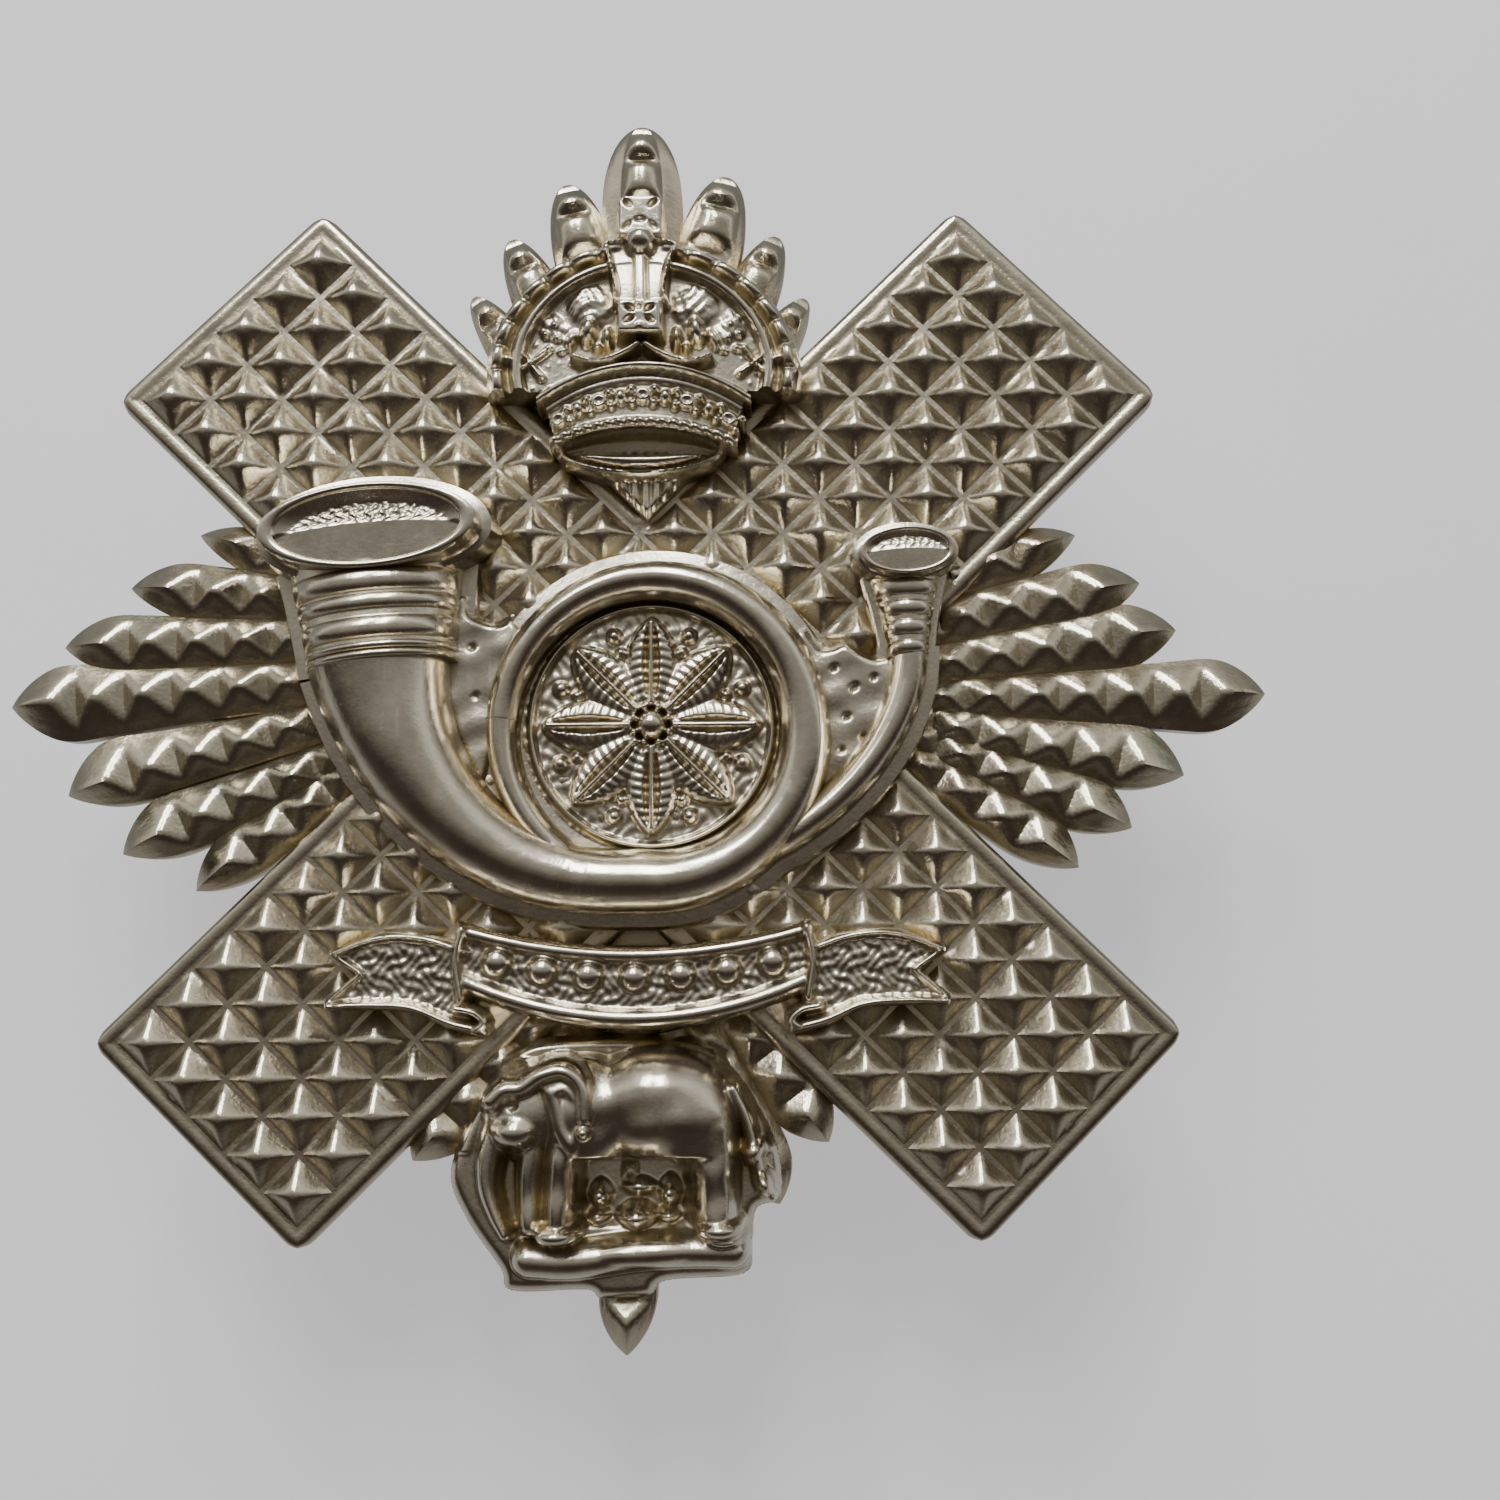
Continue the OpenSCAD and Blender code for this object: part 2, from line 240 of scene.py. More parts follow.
# Each ray: tip (u, v), root (u, v), half width at the root, then at the shoulder above and
# below the ridge (left and right of it for the rays that point up or down)
LEFT_RAYS = [((-23.0, 9.5), (-16.5, 7.6), 1.1, 1.25, 1.3),
             ((-26.5, 6.7), (-16.0, 5.9), 1.3, 1.65, 1.5),
             ((-29.8, 3.6), (-15.5, 3.9), 1.25, 1.75, 1.65),
             ((-32.4, 0.5), (-15.0, 1.8), 1.25, 2.1, 2.2),
             ((-29.3, -4.1), (-14.5, 0.2), 1.1, 2.4, 1.4),
             ((-26.4, -7.1), (-14.0, -1.6), 1.1, 2.1, 1.4),
             ((-22.6, -9.0), (-13.5, -2.2), 1.2, 1.7, 1.3)]
RIGHT_RAYS = [((22.8, 9.2), (16.0, 6.9), 1.2, 1.3, 1.4),
              ((26.1, 6.6), (14.5, 4.4), 1.3, 1.7, 1.6),
              ((27.9, 4.1), (13.5, 2.1), 1.2, 1.9, 1.8),
              ((32.4, 0.7), (12.8, 0.6), 1.1, 2.0, 2.1),
              ((28.0, -3.5), (12.5, -0.2), 1.1, 2.3, 1.4),
              ((25.2, -6.2), (13.0, -0.9), 1.0, 2.0, 1.4),
              ((22.4, -8.2), (13.0, -2.0), 1.2, 1.8, 1.3)]
TOP_RAYS = [((0.1, 31.98), (0.1, 15.8), 2.2, 2.15, 2.15),
            ((-4.0, 28.7), (-1.0, 15.8), 1.6, 1.75, 1.6),
            ((4.7, 29.1), (1.4, 15.8), 1.7, 1.8, 1.8), ((-6.95, 25.6), (-2.4, 15.5), 1.5, 1.45, 1.4),
            ((7.35, 25.7), (2.7, 15.5), 1.5, 1.4, 1.45), ((-8.9, 22.4), (-3.8, 15.0), 1.3, 1.2, 1.2),
            ((8.85, 22.2), (4.0, 15.0), 1.3, 1.2, 1.2)]
BOTTOM_RAYS = [((-0.7, -31.98), (-0.3, -15.5), 1.3, 1.5, 1.5),
               ((-4.3, -27.6), (-1.3, -15.5), 1.3, 1.6, 1.6),
               ((3.7, -27.4), (1.3, -15.5), 1.3, 1.6, 1.6),
               ((-7.9, -25.2), (-2.6, -15.0), 1.3, 1.7, 1.7),
               ((6.9, -24.8), (2.6, -15.0), 1.3, 1.7, 1.7),
               ((-11.4, -22.5), (-3.8, -14.2), 1.3, 1.7, 1.7),
               ((9.4, -21.8), (3.8, -14.2), 1.3, 1.7, 1.7)]
RIDGE = 1.25         # how high a ray's ridge stands above the sheet's edge
SEAT = 16.9          # radius of the plain round middle that the rays grow out of
NOTCH = 0.34         # how high the floor of the notch between two pyramids is
TOOTH = 2.45         # distance between pyramids along a ray
STEPS = 5            # samples in half a pyramid


def ray(tip, root, root_half, upper, lower, finger=0.0, point=2.2):
    """One ray of pyramids: a ridge with V notches across it and one long pyramid at the tip.

    finger is the share of the width that a rounded bar takes, with plain flanks beside it.
    A ray without one comes to a blunt point. point is the length of the last pyramid's nose.
    """
    tip, root = np.array(tip), np.array(root)
    length = np.linalg.norm(tip - root)
    along = (tip - root) / length
    across = np.array([-along[1], along[0]])
    apex = length - point
    count = int((apex - 0.2) / TOOTH + 0.5)
    half = TOOTH / 2
    marks = [apex - half * k for k in range(2 * count + 1)][::-1]
    s = [marks[0] + half / STEPS * i for i in range(2 * count * STEPS)]
    s = np.array(s + list(apex + (length - apex) * np.linspace(0, 1, 20) ** 0.75))
    nearest = np.abs(s[:, None] - np.array(marks[1::2])[None, :]).min(axis=1)
    notch = np.where(s >= apex, 9.0, NOTCH + (RIDGE - NOTCH) * nearest / half)
    if finger:
        q = np.clip(1 - (length - s) / 4.6, 0, 1)
        tapers = [(1 - q ** 2.1) ** 0.5] * 2
        side = np.array([0, 0.2, 0.4, 0.6, 0.75, 0.86, 0.93, 0.98, 1.02, 1.12, 1.3, 1.55, 1.8, 2])
        side = np.where(side <= 1, side * finger, finger + (side - 1) * (1 - finger))
        end = np.clip(1 - np.clip(s - (length - 1.6), 0, 9) / 1.0, 0, 1) ** 0.5
        notch = NOTCH + (RIDGE - NOTCH) * np.clip((nearest - 0.08) / 0.45, 0, 1) ** 0.7
    else:
        q = np.clip((s - apex + 1.5) / (length - apex + 1.5), 0, 1)
        tapers = [(1 - q ** 2.3) ** 0.85, (1 - q ** 1.9) ** 0.85]
        shallow = 1 - NOTCH / RIDGE
        side = np.concatenate([np.linspace(0, shallow, STEPS + 1),
                               np.linspace(shallow, 1, 5)[1:]])
    t = np.concatenate([-side[:0:-1], side])
    grown = np.clip(s / apex, 0, 1) ** 1.8
    widths = [(root_half + (shoulder - root_half) * grown) * np.clip(taper, 0.015, 1)
              for shoulder, taper in zip((upper, lower), tapers)]
    if along[0] > 0:
        widths = widths[::-1]
    away = np.abs(t)[None, :]
    if finger:
        flank = 0.5 * np.clip((1 - away) / (1 - finger), 0, 1) ** 0.8
        bar = 0.5 + (RIDGE - 0.5) * np.clip(1 - (away / finger) ** 2.6, 0, 1) * end[:, None]
        height = np.where(away < finger, np.minimum(bar, np.maximum(notch[:, None], 0.5)), flank)
        height = height * eased((length - s[:, None]) / 2.3)
    else:
        ridge = RIDGE * np.clip(1 - q ** 2.6, 0, 1) ** 0.9
        height = np.minimum(ridge[:, None] * (1 - away), notch[:, None])
    height = soften(height, 2 if finger else 1)
    sideways = np.where(t[None, :] < 0, widths[0][:, None], widths[1][:, None]) * t[None, :]
    top = np.zeros((len(s), len(t), 3))
    top[:, :, :2] = root + s[:, None, None] * along + sideways[:, :, None] * across
    top[:, :, 2] = SHEET + height
    middle = len(t) // 2

    def split(i, j):
        rising = (i // STEPS) % 2 == 1
        return rising == (j >= middle)
    return slab("ray", top, levelled(top, 0.03), split=split)


def round_plate(name, centre, radii, levels, low, count=96):
    """A round solid: circles of the given radii and levels over a flat back."""
    angle = np.linspace(0, 2 * math.pi, count, endpoint=False)
    rr, tt = np.meshgrid(radii, angle, indexing="ij")
    flat = np.dstack([centre[0] + rr * np.cos(tt), centre[1] + rr * np.sin(tt)])
    top = np.dstack([flat, np.broadcast_to(np.reshape(levels, (-1, 1)), rr.shape)])
    obj = slab(name, top, levelled(top, low), closed=True)
    fill_holes(obj)
    return obj


def star():
    parts = [round_plate("seat", (0, 0), (0.02 * SEAT, SEAT), (SHEET - 0.06,) * 2, 0)]
    parts += [ray(*r) for r in LEFT_RAYS + RIGHT_RAYS]
    parts += [ray(*r, point=1.6) for r in BOTTOM_RAYS]
    parts.append(ray(*TOP_RAYS[0], finger=0.52, point=0.95))
    parts += [ray(*r, finger=0.74, point=0.7) for r in TOP_RAYS[1:]]
    obj = union("ray_star", parts)
    shade(obj, 50)
    return obj


# ---- the saltire

CELLS = 11.5         # pyramids from the centre to an arm's end
PYRAMID = 0.95
LAND = 0.10          # share of a cell that the plain line between pyramids takes
BLUNT = 0.25         # how far the pyramids' tips are rounded off, as a part of the cell


def lattice_axis():
    """Samples along one lattice direction: on each cell's creases and even in between."""
    parts = [0] + [LAND / 2 + (1 - LAND) * i / 10 for i in range(11)]
    cells = [(k - CELLS + f) * PITCH for k in range(int(2 * CELLS)) for f in parts]
    edge = [6.55 + BORDER * f for f in (0, 0.1, 0.25, 0.5, 0.75, 0.9, 1)]
    edge += [CELLS * PITCH + BORDER * f for f in (0, 0.1, 0.25, 0.5, 0.75, 0.9, 1)]
    values = sorted({round(x, 4) for x in cells + edge + [-x for x in edge]})
    out = [values[0]]
    for x in values[1:]:
        if x - out[-1] > 0.03:
            out.append(x)
        elif any(abs(abs(x) - e) < 1e-3 for e in edge):
            out[-1] = x
    return np.array(out)


def saltire_height(a, b):
    """Height above the field at lattice coordinates a and b."""
    wide, narrow = np.maximum(np.abs(a), np.abs(b)), np.minimum(np.abs(a), np.abs(b))
    outer = np.where(wide > ARM_HALF, np.minimum(ARM_HALF - narrow, ARM_LENGTH - wide),
                     np.hypot(ARM_HALF - wide, ARM_HALF - narrow))
    cell_a = np.abs((a / PITCH + 0.5) % 1 - 0.5) * 2
    cell_b = np.abs((b / PITCH + 0.5) % 1 - 0.5) * 2
    wander = 0.012 * np.sin(1.7 * a + 0.8 * np.sin(b)) + 0.01 * np.sin(2.9 * b + 1.3 * a)
    square = np.maximum(cell_a, cell_b)
    power = 2.0 + 14 * square
    reach = (cell_a ** power + cell_b ** power) ** (1 / power)
    reach = np.clip(reach / (1 - LAND - wander), 0, 1)
    blunt = (np.sqrt(reach ** 2 + BLUNT ** 2) - BLUNT) / (math.hypot(1, BLUNT) - BLUNT)
    pyramid = PYRAMID * (1 - blunt ** 1.12)
    lip = 0.06 * (1 - smoothstep(0.6, BORDER, outer))
    lip -= 0.55 * (1 - eased(outer / 0.5))
    return np.where(outer < BORDER, lip, pyramid)


def round_corners(a, b, radius=1.0):
    """Pulls the grid's square corners at the arms' ends in to round ones."""
    wide, narrow = np.maximum(np.abs(a), np.abs(b)), np.minimum(np.abs(a), np.abs(b))
    p = np.clip(1 - (ARM_LENGTH - wide) / radius, 0, 1)
    q = np.clip(1 - (ARM_HALF - narrow) / radius, 0, 1)
    p_in = radius * p * (1 - np.sqrt(1 - q * q / 2))
    q_in = radius * q * (1 - np.sqrt(1 - p * p / 2))
    a_wide = np.abs(a) > np.abs(b)
    return (a - np.sign(a) * np.where(a_wide, p_in, q_in),
            b - np.sign(b) * np.where(a_wide, q_in, p_in))


def saltire():
    axis = lattice_axis()
    a, b = np.meshgrid(axis, axis, indexing="ij")
    inside = ((np.abs(a) < ARM_HALF + 0.01) & (np.abs(b) < ARM_LENGTH + 0.01)) | \
             ((np.abs(b) < ARM_HALF + 0.01) & (np.abs(a) < ARM_LENGTH + 0.01))
    height = saltire_height(a, b)
    a, b = round_corners(a, b)
    s, c = math.sin(ARM_ANGLE), math.cos(ARM_ANGLE)
    u, v = (b - a) / (2 * s), (a + b) / (2 * c)
    front = np.dstack([u, v, FIELD + height])
    rear = levelled(front, SHEET + np.clip(height, 0, 9) * 0.6)
    middle = (axis[:-1] + axis[1:]) / 2
    lean = ((middle / PITCH + 0.5) % 1) > 0.5
    obj = slab("saltire", front, rear, inside, split=lambda i, j: lean[i] == lean[j])
    shade(obj, 36)
    return obj


# ---- the horn

def spiral_part(angle):
    return np.maximum(0, (266 - angle) / 100)


def coil_point(angle):
    """Centre line of the horn: a circle that opens into a spiral towards the bell."""
    radius = 7.6 + 6.6 * spiral_part(angle) ** 1.5
    turn = np.radians(angle)
    return COIL_CENTRE + (radius * np.array([np.cos(turn), np.sin(turn)])).T


def coil_half(angle):
    return np.where(angle < 266, 1.65 + 2.0 * spiral_part(angle) ** 2.5,
                    1.65 * np.exp((266 - angle) / 440))


def bezier(points, t):
    p = np.array(points, float)
    t = np.asarray(t)[:, None]
    return (1 - t) ** 3 * p[0] + 3 * t * (1 - t) ** 2 * p[1] \
        + 3 * t * t * (1 - t) * p[2] + t ** 3 * p[3]


def tube_profile(half, top, ledge=0.6, rib=0.0):
    """Half-round tube on a narrow ledge, as (across, w) points from one foot to the other.

    rib swells the tube's crown, fades out at its feet and leaves the ledge as it is.
    """
    turn = np.linspace(math.pi, 0, 28)
    arc = np.column_stack([(half + rib * np.sin(turn)) * np.cos(turn),
                           2.8 + (top + rib - 2.8) * np.sin(turn)])
    left = [(-(half + ledge + 0.2), 1.6), (-(half + ledge + 0.12), 2.45),
            (-(half + ledge), 2.68), (-(half + ledge * 0.35), 2.76)]
    right = [(-x, w) for x, w in left[::-1]]
    return np.concatenate([left, arc, right])


def horn():
    angle = np.arange(170, 537, 3.0)
    path = np.vstack([[(-13.0, 2.2)], coil_point(angle)])
    halves = np.concatenate([[3.62], coil_half(angle)])
    main = sweep("tube", path, [tube_profile(h, MOUNT + h + 0.75 + 0.25 * (h < 1.7)
                                             - 0.5 * smoothstep(2.7, 3.6, h)) for h in halves])
    low_half = coil_half(np.arange(520, 604, 4.0)) - 0.03
    dive = sweep("dive", coil_point(np.arange(520, 604, 4.0)),
                 [tube_profile(h, MOUNT + h + 0.9) for h in low_half])
    t = np.linspace(0, 1, 40)
    tail_path = bezier([(3.6, -8.3), (10.2, -6.2), (13.9, -1.0), (13.7, 3.0)], t)
    tail = sweep("tail", tail_path, [tube_profile(0.9 + 0.1 * x, MOUNT + 1.75) for x in t])
    return [main, dive, tail, apron()] + horn_ends()


def apron():
    """The plain ground that fills the gaps beside the coil, with a few casting pits."""
    u, v = grid(-11, 14.5, -9.2, 6.6, 0.1)
    right = [(3.4, -8.8), (8.3, -6.4), (11.6, -3.0), (13.2, 0.8), (13.2, 2.8), (11.8, 2.7),
             (10.6, 3.5), (9.4, 3.2), (8.6, 4.2), (7.6, 3.6), (8.2, -1.2), (6.6, -5.4)]
    left = [(-10.6, 5.9), (-8.6, 6.1), (-8.3, 5.0), (-7.3, 4.6), (-6.4, 4.9), (-5.7, 3.8),
            (-6.8, 1.0), (-6.9, -2.0), (-7.9, -4.4), (-9.6, -1.0), (-10.4, 2.0)]
    w = np.full(u.shape, float(NOTHING))
    for outline in (left, right):
        edge = polygon_edge(u, v, curve(outline + outline[:1], 6))
        swell = 0.04 * np.sin(1.9 * u + np.sin(2.3 * v)) + 0.03 * np.sin(3.7 * v - 1.3 * u)
        w = np.where(edge > 0, 2.3 + 0.75 * smoothstep(0, 0.6, edge) + swell, w)
    for x, y, a in ((10.5, -0.6, 0.3), (10.9, 0.9, 0.35), (11.3, -1.6, 0.25), (10.2, -2.3, 0.22),
                    (11.9, 1.4, 0.25), (9.9, 1.9, 0.3), (-8.4, 3.1, 0.25), (-8.2, 0.6, 0.2)):
        w -= np.maximum(dome(u, v, (x, y), a * 0.8, a * 0.5, 0, 0.35, turn=40), 0)
    return relief("apron", u, v, soften(w, 2), 1.6)


def ribbed_neck(name, low, high, base, tops, ribs, bulge, ledge):
    """A flaring socket from its low end to its high end. ribs are (place, half length)."""
    low, high = np.array(low), np.array(high)
    t = np.linspace(0, 1, 100)
    rib = np.zeros(len(t))
    for place, reach in ribs:
        rib = np.maximum(rib, rounded(t - place, reach))
    rib = rib * bulge
    path = low + t[:, None] * (high - low)
    halves = base[0] + (base[1] - base[0]) * t ** 1.4
    tops = tops[0] + (tops[1] - tops[0]) * t
    return sweep(name, path, [tube_profile(h, w, ledge, r) for h, w, r in zip(halves, tops, rib)])


def horn_ends():
    """The ribbed socket with the bell's mouth, and the smaller neck with the mouthpiece."""
    ribs = [(0.04, 0.042), (0.12, 0.04), (0.29, 0.095), (0.53, 0.075), (0.73, 0.1)]
    lip_ribs = [(0.08, 0.07), (0.3, 0.08), (0.52, 0.08), (0.75, 0.09)]
    return [ribbed_neck("neck", (-12.78, 1.95), (-13.3, 7.4), (3.75, 4.45), (6.5, 5.9), ribs,
                        0.32, 0.72),
            mouth("bell_mouth", (-13.05, 8.6), 5.3, 2.1, 6.4, 4.5, 0.75),
            ribbed_neck("lip_neck", (13.65, 2.4), (13.55, 6.9), (1.05, 1.9), (4.45, 4.5),
                        lip_ribs, 0.18, 0.32),
            mouth("lip_mouth", (13.53, 7.48), 2.38, 1.18, 5.2, 2, 0.35)]


def mouth(name, centre, a, b, level, tilt, flange):
    """The open end of the horn: a rim, a flat lower lip, a rough throat and a flange."""
    turn = np.linspace(0, 2 * math.pi, 160, endpoint=False)
    inner = np.concatenate([[0.003], np.linspace(0.03, 0.84, 29), np.linspace(0.86, 1.0, 14)])
    outward = np.array([0.05, 0.1, 0.16, 0.25, 0.5, 0.75, 0.85, 0.93, 0.98, 1.0, 1.02])
    rr, tt = np.meshgrid(np.concatenate([inner, np.ones(len(outward))]), turn, indexing="ij")
    size = a / 5.3
    normal = np.array([np.cos(tt) / a, np.sin(tt) / b])
    normal /= np.hypot(*normal)
    out = np.concatenate([np.zeros(len(inner)), outward])[:, None]
    reach = out * flange * (1 + 0.5 * np.sin(tt) - 0.08 * np.cos(tt))
    x, y = rr * a * np.cos(tt) + reach * normal[0], rr * b * np.sin(tt) + reach * normal[1]
    slope = math.radians(tilt)
    lip = level - 0.32 * size + 0.09 * y
    chord = size * (0.5 * (1 - (x / a) ** 2) - 0.3)
    into = np.clip(y - chord, 0, 9)
    rough = 0.05 * np.sin(x * 9 + 2 * np.sin(y * 11)) + 0.04 * np.sin(x * 17 - y * 6)
    throat = lip - 0.42 * into + rough * size * smoothstep(0, 0.2, y - chord)
    climb = level - 0.04 - 0.8 * np.clip(0.9 - rr, 0, 1) * b * 1.15
    w = np.where(y > chord, np.maximum(throat, climb), lip)
    rim = level + 0.1 * size * (1 - ((rr - 0.94) / 0.07) ** 2)
    w = np.where(rr < 0.87, w, np.maximum(rim, w))
    drop = level - 1.7 * size * smoothstep(0.0, 0.17, out) - 0.25 * size * out
    drop = drop - (level - 1.9 * size - 1.6) * smoothstep(0.78, 1.01, out)
    w = np.where(out > 0, drop, w)
    top = np.zeros(rr.shape + (3,))
    top[:, :, 0] = centre[0] + x * math.cos(slope) - y * math.sin(slope)
    top[:, :, 1] = centre[1] + x * math.sin(slope) + y * math.cos(slope)
    top[:, :, 2] = w
    obj = slab(name, top, levelled(top, 1.5), closed=True)
    fill_holes(obj)
    return obj


# ---- reliefs drawn as heights

NOTHING = -9         # the height on a grid where a relief has no surface


def only(mask, height):
    """The height inside the mask, nothing elsewhere."""
    return np.where(mask, height, NOTHING)


def over(*heights):
    """The highest of several reliefs at every place."""
    return np.maximum.reduce(heights)


def grid(left, right, low, high, step):
    u = np.arange(left, right + step, step)
    v = np.arange(low, high + step, step)
    return np.meshgrid(u, v, indexing="ij")


def relief(name, u, v, w, base, crease=70):
    """A closed solid from heights on a grid, cut off where they reach down to the base."""
    inside = w > base + 0.01
    keep = inside.copy()
    for axis in (0, 1):
        for shift in (-1, 1):
            keep |= np.roll(inside, shift, axis)
    front = np.dstack([u, v, np.maximum(w, base)])
    obj = slab(name, front, levelled(front, base - 0.02), keep)
    shade(obj, crease)
    return obj


def dome(u, v, centre, a, b, low, high, turn=0, power=2.0):
    """An ellipsoid cap that rises from low to high."""
    angle = math.radians(turn)
    x, y = u - centre[0], v - centre[1]
    p = (x * math.cos(angle) + y * math.sin(angle)) / a
    q = (-x * math.sin(angle) + y * math.cos(angle)) / b
    r = np.abs(p) ** power + np.abs(q) ** power
    return only(r < 1, low + (high - low) * np.sqrt(np.clip(1 - r, 0, 1)))


def domes(u, v, rows, power=2.0):
    """Domes from rows of place in u and v, half lengths, low, high and, if turned, turn."""
    return over(*(dome(u, v, row[:2], *row[2:], power=power) for row in rows))


def near_line(u, v, points):
    """Distance to a bent line, and how far along it the nearest place is, 0 to 1."""
    points = np.asarray(points, float)
    best = np.full(u.shape, 1e9)
    along = np.zeros(u.shape)
    lengths = np.linalg.norm(np.diff(points, axis=0), axis=1)
    done, total = 0.0, lengths.sum()
    for a, b, length in zip(points[:-1], points[1:], lengths):
        x, y = u - a[0], v - a[1]
        d = (b - a) / length
        t = np.clip(x * d[0] + y * d[1], 0, length)
        gap = np.hypot(x - t * d[0], y - t * d[1])
        closer = gap < best
        best = np.where(closer, gap, best)
        along = np.where(closer, (done + t) / total, along)
        done += length
    return best, along


def curve(points, count=24):
    """A smooth line through a few points."""
    p = np.asarray(points, float)
    p = np.vstack([2 * p[0] - p[1], p, 2 * p[-1] - p[-2]])
    out = []
    for i in range(1, len(p) - 2):
        for t in np.linspace(0, 1, count, endpoint=False):
            a, b, c, d = p[i - 1:i + 3]
            out.append(0.5 * (2 * b + (c - a) * t + (2 * a - 5 * b + 4 * c - d) * t ** 2
                              + (3 * b - 3 * c + d - a) * t ** 3))
    return np.array(out + [p[-2]])


def rope(u, v, points, half, low, high, taper=1.0):
    """A round bar along a bent line, whose half width may shrink to a share of taper."""
    gap, along = near_line(u, v, points)
    width = half * (1 + (taper - 1) * along)
    return only(gap < width, low + (high - low) * rounded(gap, width))


def polygon_edge(u, v, points):
    """Distance inside a polygon: positive inside, negative outside."""
    points = np.asarray(points, float)
    nexts = np.roll(points, -1, axis=0)
    apart = np.linalg.norm(nexts - points, axis=1) > 1e-6
    points, nexts = points[apart], nexts[apart]
    inside = np.zeros(u.shape, bool)
    for a, b in zip(points, nexts):
        crosses = (a[1] > v) != (b[1] > v)
        slope = (b[0] - a[0]) / (b[1] - a[1] or 1)
        inside ^= crosses & (u < slope * (v - a[1]) + a[0])
    gap, _ = near_line(u, v, np.vstack([points, points[:1]]))
    return np.where(inside, gap, -gap)


def pad(edge, low, high, round_over):
    """A plate inside an outline, with a rounded edge."""
    return only(edge > 0, low + (high - low) * eased(edge / round_over))


def pebbles(u, v, pitch, seed=0):
    """A fine hammered texture, 0 to 1."""
    a = np.sin(u / pitch * 6.1 + 1.7 * np.sin(v / pitch * 2.3 + seed))
    b = np.sin(v / pitch * 5.7 + 1.9 * np.sin(u / pitch * 2.9 - seed))
    return (a * b + 1) / 2


# ---- the crown

CROWN_U = 0.3
ARCH_A, ARCH_B, ARCH_V = 7.55, 6.3, 17.3
FOOT = 0.92          # the mounts' reliefs run down to this level, inside the star


def crown():
    u, v = grid(-9.2, 9.4, 9.4, 27.2, 0.065)
    x = u - CROWN_U
    side = np.abs(x)
    rho = np.hypot(x / ARCH_A, (v - ARCH_V) / ARCH_B)
    above = v > ARCH_V - 1.2
    turn = np.arctan2((v - ARCH_V) / ARCH_B, x / ARCH_A)
    lean = 0.5 * smoothstep(8, 2, side)

    # The arches over the cap: a beaded outer band and a smooth inner one
    outer = np.clip(1 - np.abs((rho - 0.995) / 0.093) ** 3, 0, 1) ** 0.6
    beads = rounded(2.2 * ((turn * 15 / math.pi) % 1 - 0.5), 1)
    bead_row = rounded(rho - 0.985, 0.048) * beads
    inner = rounded(rho - 0.852, 0.05)
    w = only(above & (rho < 1.088), 2.0 + 2.0 * outer + lean + 0.4 * bead_row)
    w = over(w, only(above & (rho < 0.93), 3.6 + lean),
             only(above & (inner > 0), 3.6 + 0.75 * inner + lean))

    # The cap between them, rough like cloth
    cloth = 0.32 * (pebbles(u, v, 1.0) - 0.5) + 0.15 * (pebbles(u, v, 0.45, 2) - 0.5)
    w = over(w, only(above & (rho < 0.84), 3.55 + 0.5 * (1 - rho)) + cloth)
    w = soft_max(w, dome(side, v, (2.6, 20.5), 1.7, 1.95, 3.0, 4.45, -22) + 0.35 * cloth, 0.12)
    w = soft_max(w, dome(side, v, (4.4, 19.4), 1.3, 1.7, 2.8, 4.1, -35) + 0.5 * cloth, 0.12)

    w = over(w, leaves(side, v), circlet(u, v), front_arch(u, v), crown_foot(u, v))
    for middle in ((CROWN_U - 5.75, 17.6), (CROWN_U + 5.75, 17.6)):
        for angle in (38, 128, 218, 308):
            limb = [around(middle, math.radians(angle), 0.95), middle]
            w = over(w, rope(u, v, limb, 0.34, 2.6, 4.3, taper=0.4))
    soften(w, 2)
    return relief("royal_crown", u, v, w, FOOT)


def leaves(x, v):
    """The leaves, pearls and swags above the circlet, the same on both sides.

    x is the distance from the crown's middle line.
    """
    w = domes(x, v, ((1.75, 18.75, 0.34, 0.85, 3.2, 4.95), (2.75, 19.15, 0.52, 1.0, 3.2, 5.0, 10),
                     (3.6, 18.75, 0.42, 0.85, 3.0, 4.6, 24), (2.25, 18.25, 0.3, 0.34, 3.4, 4.9),
                     (6.95, 17.9, 0.5, 0.5, 2.2, 4.1), (6.5, 16.8, 0.42, 0.42, 2.0, 3.8)))
    for place in ((4.35, 18.9), (4.15, 18.2), (4.8, 18.35), (4.95, 19.1), (4.5, 19.6)):
        w = over(w, dome(x, v, place, 0.33, 0.33, 3.0, 4.3))
    swag = curve([(0.18, 18.2), (0.85, 17.78), (1.8, 17.4), (2.7, 17.35), (3.5, 17.6)])
    return over(w, rope(x, v, swag, 0.3, 3.6, 5.35, taper=0.7))


